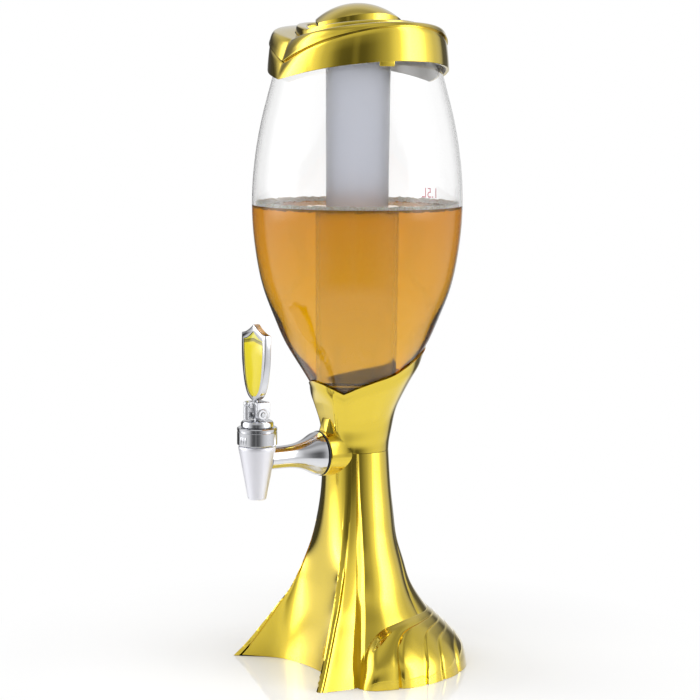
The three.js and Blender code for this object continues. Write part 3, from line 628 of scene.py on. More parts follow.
# %% The lines between the petals, as angle and height
PETAL_LINES = [
    [(60.3, 0), (62, 13), (65, 25), (70, 31.5), (77, 36.2), (87, 39.1), (99, 40.8), (115, 41.4), (134, 41.4),
     (180, 40.6)],
    [(80.5, 0), (80.5, 13), (82.5, 24), (86.5, 31), (93, 35), (104, 37), (120, 37.8), (140, 37.9), (180, 37.4)],
    [(95.5, 0), (96.5, 10), (99, 19), (103, 26.5), (109, 30.8), (120, 33), (135, 33.6), (180, 33.2)],
    [(108, 0), (107.5, 8), (109, 15), (112, 21), (117, 25.4), (127, 27.6), (142, 28.6), (180, 28.4)],
    [(124, 0), (123, 6), (124, 12), (127, 17), (133, 20.5), (145, 22.3), (180, 22.4)],
    [(148, 0), (147, 4), (148, 8), (152, 11.5), (160, 13.5), (170, 14), (180, 14)],
    [(168, 0), (171, 0), (174, 0), (180, 0)],
]
PETALS = len(PETAL_LINES) - 1
ALONG = 40
ACROSS = 18
FOOT_LIMIT = 84.9


def spaced(points):
    angle, height = np.array(points, dtype=float).T
    way = np.concatenate([[0], np.cumsum(np.hypot(np.diff(angle) * 1.25, np.diff(height)))])
    way = way / way[-1]
    return flowing(list(zip(way, angle))), flowing(list(zip(way, height)))


petal_curves = [spaced(points) for points in PETAL_LINES]
edge_height = firm(PETAL_LINES[0])
swell = firm([(0, 0.54), (0.19, 0.84), (0.38, 1), (0.56, 0.9), (0.8, 0.66), (0.93, 0.4), (1, 0)])
swell_back = firm([(0, 0.46), (0.2, 0.74), (0.35, 0.84), (0.5, 0.76), (0.8, 0.36), (0.93, 0.14), (1, 0)])
print(PETALS, "petals on each side, up to", float(edge_height(125)), "mm high")

# %% [markdown]
# Between two lines the sheet swells out of the pedestal, most at a third of its height. Each petal has a soft belly,
# starts in a notch beside the petal before it, and ends in a small lip. The first one is tucked into the skin.

# %% The fan's sheet
def petal_sheet(across, along):
    petal = np.clip(np.floor(across).astype(int), 0, PETALS - 1)
    share = across - petal
    angles = np.array([curve[0](along) for curve in petal_curves])
    heights = np.array([curve[1](along) for curve in petal_curves])
    point = np.arange(len(across))
    angle = angles[petal, point] * (1 - share) + angles[petal + 1, point] * share
    height = heights[petal, point] * (1 - share) + heights[petal + 1, point] * share
    rise = height / np.maximum(edge_height(angle), 0.1)
    behind = np.clip((angle - 85) / 40, 0, 1)
    lift = 9.8 * (swell(rise) * (1 - behind) + swell_back(rise) * behind)
    soft_edge = 1 - (1 - np.clip(across / 0.4, 0, 1)) ** 2.2
    belly = 0.6 * np.sin(np.clip(share, 0, 1) * math.pi) ** 0.8 * np.clip(1.15 - 1.3 * along, 0.1, 1)
    depth = 0.5 + 2.4 * np.clip(1 - along / 0.45, 0, 1) ** 1.2
    notch = np.where(petal > 0, depth * np.clip(1 - share / 0.12, 0, 1) ** 1.3, 0)
    lip = 0.35 * np.exp(-((share - 0.97) / 0.04) ** 2)
    tuck = 1.6 * np.clip(1 - across / 0.055, 0, 1)
    base = np.maximum(column_radius(height), skin(angle, height))
    radius = base + 0.4 - tuck + lift * soft_edge + belly * soft_edge - notch + lip
    return angle, np.minimum(radius, FOOT_LIMIT), height


bpy.ops.mesh.primitive_grid_add(x_subdivisions=ACROSS * PETALS, y_subdivisions=ALONG, size=1)
fan = bpy.context.object
fan.name = "petal_fans"
grid = points_of(fan) + 0.5
place_round(fan, *petal_sheet(grid[:, 0] * PETALS, grid[:, 1]))
tidy(fan)
modify(fan, "SOLIDIFY", thickness=1.6 * MM, offset=-1)
for point in fan.data.vertices:
    point.co.z = max(point.co.z, 0)
modify(fan, "MIRROR", use_axis=(True, False, False), merge_threshold=0.05 * MM)
finished(fan, "stand", gold, smooth=38)

# %% [markdown]
# ## Collar
#
# The collar is the second gold moulding: a funnel that hugs the tank. Its rim starts as a peak over the tap, drops
# into a V on each side of it, and climbs to the back. The lathe makes a plain blank whose rows are shares of the
# height, and the reshaping puts each row between the neck and the rim at its own angle.

# %% The tank's curve, and the collar's rim and funnel
tank_share = flowing([
    (0, 0.275), (0.023, 0.344), (0.049, 0.4), (0.106, 0.514), (0.192, 0.69), (0.25, 0.775), (0.33, 0.88),
    (0.43, 0.957), (0.56, 1), (0.7, 0.977), (0.816, 0.912), (0.928, 0.8157), (1, 0.753),
])
funnel = flowing([
    (0, 0), (0.09, 0.02), (0.18, 0.066), (0.28, 0.118), (0.375, 0.177), (0.47, 0.27), (0.565, 0.4), (0.66, 0.54),
    (0.76, 0.7), (0.857, 0.85), (0.95, 0.94), (1, 1),
])
front_rim = firm([(0, 212.6), (14, 211.0), (28, 207.6), (41, 204)])
side_rim = firm([
    (41, 204), (50, 206.4), (58, 208.7), (76, 213.1), (102, 218.9), (115, 224), (127, 229), (147, 234.5), (180, 238),
])


def tank_radius(height):
    return TANK_RADIUS * tank_share((height - SHOULDER) / TANK_TALL)


def rim_height(angle):
    side = np.abs(angle)
    return np.where(side < 41, front_rim(side), side_rim(side))


print("rim from", float(rim_height(41)), "to", float(rim_height(180)), "mm")

# %% [markdown]
# Over the tap the funnel carries a flat leaf-shaped panel between two sharp creases. As on the pedestal, columns of
# points are led along those creases, and the panel is the chord between them.

# %% Collar
CREASE_COLUMNS = (30, 33)
CREASE_WIDE = 2.4
COLLAR_FOOT = NECK + CLEARANCE
BLANK_OUTER = 40
BLANK_INNER = 20
crease_angle = firm([(0, 18), (0.46, 21.5), (0.9, 25), (1, 26)])


def collar_skin(angle, radius, share):
    share = share / 100
    place, crease = np.abs(angle), crease_angle(share)
    first, second = CREASE_COLUMNS
    side = np.where(place < first, crease * place / first, crease + (place - first) * CREASE_WIDE / (second - first))
    past = crease + CREASE_WIDE + (place - second) / (180 - second) * (180 - crease - CREASE_WIDE)
    side = np.where(place > second, past, side)
    angle = np.copysign(side, angle)
    rim = rim_height(angle)
    height = COLLAR_FOOT + (rim - COLLAR_FOOT) * share
    rim_radius = tank_radius(rim) + CLEARANCE + 1.0
    outer = NECK_RADIUS + (rim_radius - NECK_RADIUS) * funnel(share)
    strength = np.clip(share / 0.2, 0, 1) * np.clip((1 - share) / 0.3, 0, 1)
    chord = np.cos(np.radians(crease)) / np.cos(np.radians(np.minimum(side, crease)))
    outer = outer * np.where(side <= crease, 1 + (chord - 1) * strength, 1)
    inside = tank_radius(np.maximum(height, SHOULDER))
    outer = np.maximum(outer, inside * (height > SHOULDER) + 1.0)
    ridge = 0.4 * np.exp(-((side - crease - CREASE_WIDE) / 1.3) ** 2) * np.clip(share * 2.4 - 0.6, 0, 1)
    outer = outer + np.where(share < 0.97, ridge, 0)
    inner = np.maximum(outer - 2.2, inside + CLEARANCE)
    inner = np.where(height < SHOULDER, np.maximum(outer - 2.4, 21.9), np.minimum(inner, outer - 0.5))
    return angle, np.where(radius > (BLANK_OUTER + BLANK_INNER) / 2, outer, inner), height


rows = list(np.linspace(0, 100, 44))
outline = [(BLANK_OUTER, row) for row in rows] + [(BLANK_INNER, row) for row in rows[::-3]]
collar = reshape(turned("collar_shell", outline, steps=360), collar_skin)

# %% [markdown]
# The tap's boss stands out of the neck at the seam, with a small gusset on top of it that runs up into the leaf. Both
# are made apart, and joined to the funnel by Boolean unions, so that the collar is one closed shell.

# %% Boss and gusset
ON_TAP_AXIS = {"at": (0, 0, TAP), "tilt": (90, 0, 0)}
boss = turned("boss", [
    (7.8, 31), (15.9, 31), (16.5, 30.4), (16.7, 27), (17.1, 23), (17.9, 19), (18.9, 15.5), (19.6, 12), (7.8, 12),
], steps=96, **ON_TAP_AXIS)

gusset = block("gusset", (-5.5, -27.2, 173.3), (5.5, -20, 184.7))
GUSSET_WIDTHS = {(True, False): 0.8, (True, True): 0.9, (False, True): 2.0, (False, False): 1.3}
for point in gusset.data.vertices:
    in_front, at_foot = point.co.y < -23.6 * MM, point.co.z < 179 * MM
    if in_front:
        point.co.y = (-29.4 if at_foot else -26.2) * MM
    point.co.x *= GUSSET_WIDTHS[in_front, at_foot]
edged(gusset, 0.7)
combine(collar, "UNION", boss, gusset)
finished(collar, "stand", gold, ["collar"])

# %% [markdown]
# The plating only reaches the outside, so the funnel is bare inside: faces that look towards the axis, above the
# tank's shoulder, get the finish of the unplated moulding as their second material. The lid's band gets the same
# later.

# %% The collar's bare inside
def bare_inside(piece, lowest=0):
    piece.data.materials.append(bare)
    for face in piece.data.polygons:
        middle = face.center / MM
        inward = face.normal.x * middle.x + face.normal.y * middle.y < -0.2 * math.hypot(middle.x, middle.y)
        face.material_index = 1 if inward and middle.z > lowest else 0
    print(piece.name, "bare faces", sum(face.material_index for face in piece.data.polygons))


bare_inside(collar, SHOULDER)

# %% [markdown]
# ## Tank
#
# The tank is blown in one piece: a barrel with an open rim, drawn in at the bottom to a spigot that stands in the
# collar. It is turned with both faces of its 2.5 mm wall, because clear plastic only bends light rightly when it is
# a real wall.

# %% Tank
TANK_WALL = 2.5
SPIGOT = 14
SPIGOT_FOOT = low("tank")
SPIGOT_FLOOR = SPIGOT_FOOT + TANK_WALL
SPIGOT_BORE = SPIGOT - TANK_WALL
rises = np.linspace(0, 1, 72)
outside = [(TANK_RADIUS * float(tank_share(rise)), SHOULDER + TANK_TALL * rise) for rise in rises]
inside = [(radius - TANK_WALL, height) for radius, height in outside[2:]]
rim_top = [(outside[-1][0] - 0.6, TANK_TOP), (inside[-1][0] + 0.6, TANK_TOP)]
outside[-1] = (outside[-1][0], TANK_TOP - 0.6)
inside[-1] = (inside[-1][0], TANK_TOP - 0.6)
outline = [(0, SPIGOT_FOOT), (SPIGOT, SPIGOT_FOOT), (SPIGOT, SHOULDER)] + outside + rim_top + inside[::-1]
outline += [(SPIGOT_BORE, SHOULDER + TANK_WALL), (SPIGOT_BORE, SPIGOT_FLOOR), (0, SPIGOT_FLOOR)]
tank = turned("tank_shell", outline, steps=192)
finished(tank, "stand", clear, ["tank"], smooth=30)

# %% [markdown]
# ## The drink
#
# A liquid in a clear vessel has no gap to the wall. If its surface lay inside the wall's inner face, light would
# cross a film of air and the tank would look empty at the edges, so the liquid is let a tenth of a millimetre into
# the wall. Its top stands a little higher along the wall, where it clings. The tube stands in the liquid; ice melts
# in it to the same height, so light crosses both as one, and the liquid is made as one full body through the tube's
# thin wall.

# %% Drink
SOAK = 0.12
levels = np.linspace(SHOULDER + TANK_TALL * rises[2], LEVEL, 52)
wall = [(float(tank_radius(level)) - TANK_WALL + SOAK, level) for level in levels]
wall[-1] = (wall[-1][0], LEVEL + 0.9)
surface = [(wall[-1][0] - 1.2, LEVEL + 0.25), (wall[-1][0] - 3.0, LEVEL), (60, LEVEL), (42, LEVEL), (0, LEVEL)]
bore = SPIGOT_BORE + SOAK
outline = [(0, SPIGOT_FLOOR), (bore, SPIGOT_FLOOR), (bore, SHOULDER + TANK_WALL)] + wall + surface
liquid = turned("drink_body", outline, steps=192)
finished(liquid, "stand", drink, ["drink"], smooth=40)

# %% [markdown]
# The froth is a thin ring of small bubbles. Waves of several lengths make its inner edge and its top uneven.

# %% Froth ring
FROTH_WALL = float(tank_radius(LEVEL)) - TANK_WALL
outline = [(FROTH_WALL - inward, height) for inward, height in raised(LEVEL, [
    (0.05, -0.9), (0.05, 3.2), (0.9, 3.4), (2.2, 2.2), (4.2, 1.0), (6.0, 0.3), (3.0, -0.2),
])]


def wave(angle, *parts):
    return sum(np.sin(np.radians(angle * times + ahead)) for times, ahead in parts)


def bubbly(angle, radius, height):
    waves = wave(angle, (23, 0), (41, 70), (67, 20))
    fine = wave(angle, (113, 10), (149, 0))
    inner = radius < FROTH_WALL - 0.5
    height = height + 0.22 * waves + 0.15 * fine
    return angle, np.where(inner, radius + 0.5 * waves + 0.3 * fine, radius), height


froth_ring = reshape(turned("froth_ring", outline, steps=360), bubbly)
finished(froth_ring, "stand", froth, smooth=60)

# %% [markdown]
# ## Ice tube
#
# The tube hangs from the lid by its flange and reaches down into the drink. It is moulded with a slight taper, so
# that it leaves its mould, and its floor is rounded.

# %% Ice tube
TUBE_WALL = 1.8
TUBE_TOP_RADIUS = 23.5
TUBE_FOOT = low("ice_tube")
TUBE_FLOOR = TUBE_FOOT + TUBE_WALL
FLANGE = high("ice_tube")
TUBE_REST = FLANGE - 2


def tube_side(count, inward=0):
    levels = np.linspace(TUBE_FOOT + 8, TANK_TOP, count)
    radii = np.interp(levels, [TUBE_FOOT, TANK_TOP], [21.7, TUBE_TOP_RADIUS])
    return [(float(radius) - inward, level) for radius, level in zip(radii, levels)]


outline = raised(TUBE_FOOT, [(0, 0), (17.5, 0), (20.4, 0.9), (21.75, 3.6)]) + tube_side(24)
outline += raised(TUBE_REST, [(TUBE_TOP_RADIUS, 0), (37.2, 0), (37.5, 0.3)])
outline += raised(FLANGE, [
    (37.5, -0.3), (37.2, 0), (TUBE_TOP_RADIUS - TUBE_WALL + 0.8, 0), (TUBE_TOP_RADIUS - TUBE_WALL, -1),
])
outline += tube_side(12, TUBE_WALL)[::-1] + raised(TUBE_FLOOR, [(19.2, 1.6), (16.8, 0), (0, 0)])
sleeve = turned("ice_sleeve", outline, steps=128)
finished(sleeve, "lid", milky, ["ice_tube"], smooth=40)

# %% [markdown]
# ## Volume mark
#
# A red 1.5 litre mark with a line under it is printed on the outside of the tank's back, to be read from behind. It
# is set as flat type, its line is cut into small faces so that it can bend, and both are then wrapped onto the tank.

# %% Volume mark
MARK_ANGLE = 189.3
MARK_HEIGHT = 342.4
bpy.ops.object.text_add(location=(0, 0, 0))
mark = bpy.context.object
mark.name = "volume_mark"
mark.data.body = "1.5L"
mark.data.size = 10.8 * MM
mark.data.align_x = "CENTER"
mark.data.extrude = 0.03 * MM
bpy.ops.object.convert(target="MESH")
rule = block("rule", (-7.5, -3.45, -0.03), (7.5, -2.95, 0.03))
edit_all(rule, (bpy.ops.mesh.subdivide, {"number_cuts": 12}))
mark.select_set(True)
bpy.context.view_layer.objects.active = mark
bpy.ops.object.join()
for point in mark.data.vertices:
    across, rise, off = (value / MM for value in point.co)
    height = MARK_HEIGHT + rise
    radius = float(tank_radius(height)) + 0.05 + off
    turn = math.radians(MARK_ANGLE) + across / radius
    point.co = (radius * math.sin(turn) * MM, -radius * math.cos(turn) * MM, height * MM)
finished(mark, "stand", print_ink)

# %% [markdown]
# ## Lid
#
# Four gold pieces: a lower band, a crown lapped over it, a tier and a domed cap. All their edges rise from the tips
# over the tap and at the back towards the sides. At those tips the lid has a prow: the band's foot stands out and the
# crown's top leans back. Each piece is turned as a blank whose heights are measured from its own edge, and then each
# column is lifted by the same rule as in the solids.

# %% The lid's rules
def side_share(angle):
    return np.abs(np.sin(np.radians(angle)))


def bowed(angle, radius, bow):
    off_tip = np.minimum(np.abs(angle), 180 - np.abs(angle))
    return radius + bow * np.clip(1 - off_tip / 25, 0, 1)


def band_foot(angle):
    return TANK_TOP - 18.7 + 13.2 * side_share(angle)


def seam(angle):
    return TANK_TOP - 7 + 25.5 * side_share(angle)


def crown_top(angle):
    return TANK_TOP + 9.5 + 12.4 * side_share(angle)


print("seam from", round(float(seam(0)), 1), "at the tip to", round(float(seam(90)), 1), "at the side")

# %% [markdown]
# In each blank the height counts from 0 at the piece's lower edge to 100 at its upper edge, and goes above 100 by
# real millimetres. The crown's lower lip is rounded and stands proud of the band, over a narrow dark gap. Blank
# heights from 150 are the crown's floor, which lies flat just above the tank's rim.

# %% Band and crown
def band_skin(angle, radius, blank):
    foot, top = band_foot(angle), seam(angle)
    share = np.clip(blank, 0, 100) / 100
    height = foot + (top - foot) * share + np.maximum(blank - 100, 0)
    return angle, bowed(angle, radius, 2.2 - 2.7 * share), height


outline = [
    (63.1, 1), (63.4, 0), (65.3, 0), (65.55, 1), (65.4, 20), (64.9, 50), (64.2, 84), (63.7, 94),
    (63.2, 99), (62.4, 100), (62.0, 100), (61.9, 102.0), (60.9, 102.2), (60.7, 100), (60.9, 60),
]
band = reshape(turned("lid_band_shell", outline, steps=256), band_skin)
finished(band, "lid", gold, ["lid_band"])
bare_inside(band)


def crown_skin(angle, radius, blank):
    foot, top = seam(angle) + 0.8, crown_top(angle)
    share = np.clip(blank, 0, 100) / 100
    on_floor = blank > 150
    height = np.where(on_floor, TANK_TOP + 2.6 + (blank - 150), foot + (top - foot) * share)
    lean = bowed(angle, radius, -0.5 - 3.5 * share)
    return angle, np.where((radius > 55) & ~on_floor, lean, radius), height


outline = [
    (63.3, 0), (64.1, 1.2), (64.45, 4), (64.4, 8), (64.1, 16), (63.6, 38), (63.0, 60), (62.2, 78), (61.4, 90),
    (60.5, 97), (59.2, 100), (54, 100), (48, 100), (45.9, 100), (45.3, 92), (45.3, 152), (23.8, 152), (23.8, 150),
    (57.9, 150), (57.9, 152), (46.8, 152), (46.8, 80), (58.4, 80), (61.2, 55), (62.4, 0),
]
crown = reshape(turned("lid_crown_shell", outline, steps=256), crown_skin)
finished(crown, "lid", gold, ["lid_crown"])

# %% [markdown]
# A small tab stands below the band on each side, to get a thumb under the lid. It is a block turned to its place
# and doubled by a mirror.

# %% Thumb tabs
TAB_ANGLE = 75
tabs = edged(block("lid_tabs", (-5.5, -0.8, -2.3), (5.5, 0.8, 2.3)), 0.5)
set_in(tabs, (0, -64.2, float(band_foot(TAB_ANGLE)) - 1.0))
set_in(tabs, (0, 0, 0), (0, 0, TAB_ANGLE))
modify(tabs, "MIRROR", use_axis=(True, False, False))
finished(tabs, "lid", gold)

# %% [markdown]
# The tier is a ring with a raised rim around a round recess. The cap is a dome that stands in that recess: its top is
# part of a sphere, and its wall is cut along the same rising rule, so the edge between them waves gently.

# %% Tier
TIER_FOOT = low("lid_tier")


def tier_skin(angle, radius, blank):
    top = TIER_FOOT + 10 + 6.5 * side_share(angle)
    return angle, radius, np.where(blank > 50, top - (100 - blank), blank + TIER_FOOT)


outline = [
    (35.5, 0), (45, 0), (45, 98.2), (44.6, 99.4), (43.6, 100), (39.5, 100), (37.8, 99.4),
    (37, 98.2), (37, 6.8), (19.5, 6.8), (19.5, 4.4), (35.5, 4.4),
]
tier = reshape(turned("lid_tier_shell", outline, steps=192), tier_skin)
finished(tier, "lid", gold, ["lid_tier"])

# %% [markdown]
# In the cap's blank the top is a share of the dome's reach, the wall counts from 0 down to 10, and 100 less means the
# inner face.

# %% Cap
CAP_FOOT = low("lid_dome")
CAP_WALL = 2
SPHERE = 46
SPHERE_CENTRE = high("lid_dome") - SPHERE


def cap_skin(angle, radius, blank):
    rise = CAP_FOOT + 7 + 7.2 * side_share(angle) - SPHERE_CENTRE
    inner = blank < -50
    thinner = np.where(inner, CAP_WALL, 0)
    ball = SPHERE - thinner
    edge = np.sqrt(SPHERE ** 2 - rise ** 2) - thinner
    blank = np.where(inner, blank + 100, blank)
    on_top = blank <= 0
    turn = np.arcsin(edge / ball) * radius
    wall_top = SPHERE_CENTRE + ball * np.cos(np.arcsin(edge / ball))
    wall = CAP_FOOT + (wall_top - CAP_FOOT) * (1 - np.clip(blank, 0, 10) / 10)
    height = np.where(on_top, SPHERE_CENTRE + ball * np.cos(turn), wall)
    return angle, np.where(on_top, ball * np.sin(turn), edge), height


outline = [(share, 0) for share in np.linspace(0, 1, 24)]
outline += [(1, 0.4), (1, 1), (1, 4), (1, 9.5), (1, 10), (1, -90), (1, -99)]
outline += [(share, -100) for share in np.linspace(1, 0, 8)]
cap = reshape(turned("lid_cap_shell", outline, steps=160), cap_skin)
finished(cap, "lid_cap", gold, ["lid_dome"])

# %% [markdown]
# ## Tap
#
# Ring, shank, spout, nut and bonnet are turned parts, so each is a single outline. Real turned edges are never quite
# sharp: most outlines break their corners with a short chamfer, which catches a thin line of light.

# %% Ring and shank
RING = 0.6
ring = turned("boss_ring", [
    (16.5 - RING + RING * math.cos(step * math.tau / 12), 31.9 + RING * math.sin(step * math.tau / 12))
    for step in range(12)
], steps=96, **ON_TAP_AXIS)
finished(ring, "stand", rubber, ["boss_oring"], smooth=60)

shank_curve = flowing([(32.8, 16.2), (36, 15.4), (41, 13), (46, 10.8), (50.4, 9.5), (56, 8.6), (62, 8.3), (75, 8.2)])
outline = [(15.7, 32.8)] + [(float(shank_curve(reach_out)), reach_out) for reach_out in np.linspace(33.4, 75, 44)]
outline += [(4.4, 75), (4.4, 15), (7.2, 15), (7.2, 32.8)]
shank = turned("tap_shank_turned", outline, steps=128, **ON_TAP_AXIS)
finished(shank, "stand", chrome, ["tap_shank"])

# %% [markdown]
# The spout hangs from the shank's end. The nut sits on its shoulder and carries three small ribs as a grip, and the
# bonnet stands in the nut.

# %% Spout
ON_SPOUT_AXIS = (0, -SPOUT_REACH, 0)
SPOUT_FOOT = low("spout_body")
SEAT = low("ring_nut") - CLEARANCE
SPOUT_SHOULDER = SEAT + 1.9
outline = raised(SPOUT_FOOT, [(4.4, 0.4), (4.8, 0), (6.1, 0), (6.6, 0.5)])
outline += raised(SPOUT_SHOULDER, [(13.1, -3.6), (13.5, -1.8), (13.4, -0.6), (12.8, 0), (9.8, 0)])
outline += raised(SEAT, [(9.8, 12.4), (6.5, 12.4), (6.5, 0), (8.6, -1)]) + [(8.6, TAP - 3)]
outline += raised(SPOUT_FOOT, [(6.6, 16.5), (4.4, 13.5)])
spout = turned("spout_turned", outline, steps=128, at=ON_SPOUT_AXIS)
finished(spout, "stand", satin, ["spout_body"])

# %% Nut and bonnet
NUT_FOOT, NUT_TOP = SPOUT_SHOULDER + 0.6, high("ring_nut")
RIB_HEIGHT = 174.2
outline = raised(NUT_FOOT, [(10.1, 0), (13.9, 0), (14.4, 0.5)]) + raised(NUT_TOP, [
    (14.4, -3.4), (14, -3), (14, -2.6), (14.4, -2.2), (14.4, -0.6), (13.8, 0), (8.1, 0), (8.1, -2.3), (10.1, -2.3),
])
nut = turned("ring_nut_turned", outline, steps=128)
for angle in (7, 16, 25):
    rib = edged(block("rib", (-0.5, -14.8, -2.6), (0.5, -13.4, 2.6)), 0.3, segments=2)
    combine(nut, "UNION", set_in(rib, (0, 0, RIB_HEIGHT), (0, 0, angle)))
set_in(nut, ON_SPOUT_AXIS)
finished(nut, "stand", chrome, ["ring_nut"])

outline = raised(low("bonnet"), [(2.5, 2), (7.8, 0)]) + raised(NUT_TOP, [(7.8, 0.3), (11.3, 0.3), (11.7, 0.7)])
outline += raised(high("bonnet"), [(11.7, -1.6), (11.1, -0.5), (10.2, 0), (2.5, 0)])
bonnet = turned("bonnet_turned", outline, steps=96, at=ON_SPOUT_AXIS)
finished(bonnet, "stand", chrome, ["bonnet"])

# %% [markdown]
# ## Lever
#
# The lever's block is a small casting, forked around the valve stem's eye, with a round front foot that presses on
# the bonnet. It starts as a cube, gets its round lower edge from a bevel, and its slot and holes from Boolean cuts.
# Under the pin the slot runs further to the front, because the stem swings there when the lever is pulled.

# %% Lever block
PIN = (low("lever_pin") + high("lever_pin")) / 2
PIN_END = high("lever_pin", 0)
ON_PIN = {"at": (0, -SPOUT_REACH, PIN), "tilt": (0, 90, 0)}
FOOT_PLACE = -SPOUT_REACH - 8.6
FOOT_RADIUS = 2.4
lever = block("lever_block", (-7.3, -SPOUT_REACH - 4.5, PIN - 4.5), (7.3, -SPOUT_REACH + 6.4, PIN + 8.6))
select_only(lever)
bpy.ops.object.mode_set(mode="EDIT")
bpy.ops.mesh.select_mode(type="EDGE")
bpy.ops.mesh.select_all(action="DESELECT")
bpy.ops.object.mode_set(mode="OBJECT")
for edge in lever.data.edges:
    ends = [lever.data.vertices[index].co for index in edge.vertices]
    edge.select = all(end.z < PIN * MM for end in ends) and abs(ends[0].x - ends[1].x) > 5 * MM
bpy.ops.object.mode_set(mode="EDIT")
bpy.ops.mesh.bevel(offset=4.4 * MM, segments=8)
bpy.ops.object.mode_set(mode="OBJECT")
edged(lever, 0.5)

foot = turned("foot", raised(PIN, [
    (0, -3.8), (1.9, -3.8), (FOOT_RADIUS, -3.3), (FOOT_RADIUS, 5.4), (1.7, 6.2), (0, 6.2),
]), steps=48, at=(0, FOOT_PLACE, 0))
bpy.ops.mesh.primitive_uv_sphere_add(
    segments=32, ring_count=16, radius=FOOT_RADIUS * MM, location=(0, FOOT_PLACE * MM, (PIN + 7.4) * MM),
)
ball = bpy.context.object
bpy.ops.object.transform_apply(location=True, rotation=True, scale=True)
bridge = block("bridge", (-FOOT_RADIUS, FOOT_PLACE, PIN + 1.6), (FOOT_RADIUS, -SPOUT_REACH, PIN + 4.8))
edged(bridge, 0.6, segments=2)
slot = block("slot", (-2.9, -SPOUT_REACH - 3.4, PIN - 9), (2.9, -SPOUT_REACH + 12, PIN + 4.2))
swing = block("swing_room", (-2.9, -SPOUT_REACH - 6, PIN - 9), (2.9, -SPOUT_REACH, PIN + 1))
pin_hole = turned("pin_hole", [(0, -20), (1.9, -20), (1.9, 20), (0, 20)], steps=32, **ON_PIN)
outline = raised(-PIN_END, [(0, 0.5), (3.4, 0.5), (4.1, 1.1)])
outline += raised(PIN_END, [(4.1, -1.1), (3.4, -0.5), (0, -0.5)])
eye = turned("eye", outline, steps=64, **ON_PIN)
combine(lever, "UNION", foot, ball, bridge, eye)
combine(lever, "DIFFERENCE", slot, swing, pin_hole)
finished(lever, "tap_lever", cast, ["lever_hub"])

# %% Lever pin
head = [(0, PIN_END), (1.3, PIN_END), (1.7, PIN_END - 0.3), (1.8, PIN_END - 0.8), (1.8, 7.6), (1.6, 7.6)]
outline = [(radius, -reach_out) for radius, reach_out in head] + head[::-1]
pin = turned("lever_pin_turned", outline, steps=64, **ON_PIN)
finished(pin, "valve", steel, ["lever_pin"])

# %% [markdown]
# ## Badge
#
# The handle is a shield-shaped chrome casting with a sunk face of yellow enamel. The face is plain, with only a
# darker band that crosses it near the top. The shield's outline is one flat loop, made from a circle with as many
# points as the outline, filled, and extruded.

# %% Badge outline
BADGE_HALF = 16.4
BADGE_TALL = 55.5
BADGE_THICK = 5.4
BADGE_FOOT = high("badge_frame") - BADGE_TALL
STUD_PLACE = low("badge_frame", 1) + 3.5
STUD_FOOT = low("badge_frame")
BADGE_FACE = low("badge_frame", 1) + 1.3
shield_side = firm([
    (0, 0), (0.035, 0.3), (0.09, 0.53), (0.16, 0.67), (0.25, 0.79), (0.4, 0.91), (0.56, 0.985), (0.74, 1),
    (0.88, 0.985),
])
face_side = firm([(0, 0), (0.05, 0.38), (0.165, 0.67), (0.35, 0.85), (0.52, 0.93), (0.75, 1), (0.87, 1)])


def shield_outline(half, foot, tall, side_curve):
    rises = np.concatenate([[0, 0.012, 0.026, 0.045, 0.07, 0.1], np.linspace(0.14, 0.875, 16)])
    side = [(half * float(side_curve(rise)), rise * tall) for rise in rises]
    wide, high_up = side[-1]
    brow = [(wide * (1 - share), high_up + (tall - high_up) * share ** 1.7) for share in np.linspace(0.08, 1, 9)]
    right = side + brow
    left = [(-across, rise) for across, rise in right[1:-1][::-1]]
    return [(across, foot + rise) for across, rise in right + left]


def shield(name, outline, front, back):
    piece = loop(name, [(across, front, rise) for across, rise in outline], fill_type="NGON")
    move = {"TRANSFORM_OT_translate": {"value": (0, (back - front) * MM, 0)}}
    return tidy(edit_all(piece, (bpy.ops.mesh.extrude_region_move, move)))


badge_outline = shield_outline(BADGE_HALF, BADGE_FOOT, BADGE_TALL, shield_side)
badge = edged(shield("badge_shield", badge_outline, BADGE_FACE, BADGE_FACE + BADGE_THICK), 0.8)
pocket_outline = shield_outline(13.3, BADGE_FOOT + 2.6, BADGE_TALL - 7.6, face_side)
combine(badge, "DIFFERENCE", shield("pocket", pocket_outline, BADGE_FACE - 4, BADGE_FACE + 1.4))
stud = turned("stud", [
    (0, STUD_FOOT), (2, STUD_FOOT), (2, BADGE_FOOT + 4), (0, BADGE_FOOT + 4),
], steps=32, at=(0, STUD_PLACE, 0))
combine(badge, "UNION", stud)
finished(badge, "tap_lever", chrome, ["badge_frame"])

# %% [markdown]
# The enamel is poured smooth and glossy. Its darker band slants down to both sides, so its place is the height plus a
# share of the distance from the middle.

# %% Badge face
enamel, tree, shader, place = new_finish("stoved_yellow_enamel", "#F2E23C", Roughness=0.12, IOR=1.5, Coat_Weight=0.3)
split = node(tree, "SeparateXYZ", {}, {"Vector": place})
across = calc(tree, "ABSOLUTE", split.outputs["X"])
slant = calc(tree, "MULTIPLY_ADD", across, 0.17, split.outputs["Z"])
wire(shader, Base_Color=ramp(tree, ranged(tree, slant, start=(0.236, 0.256)), [
    (0.0, "#E6D428"), (0.42, "#E6D428"), (0.45, "#9C9030"), (0.52, "#8F8428"), (0.54, "#4E4818"), (0.57, "#D2CA38"),
]))
face_outline = shield_outline(13.0, BADGE_FOOT + 2.9, BADGE_TALL - 8.2, face_side)
face = edged(shield("badge_face", face_outline, BADGE_FACE + 0.35, BADGE_FACE + 1.3), 0.3, segments=2)
finished(face, "tap_lever", enamel, ["badge_panel"])

# %% [markdown]
# ## Carried-over solids
#
# Screws, seals, stem and plate are simple shapes that mostly hide inside. Their solids are right as they are, so they
# only get their real finishes.

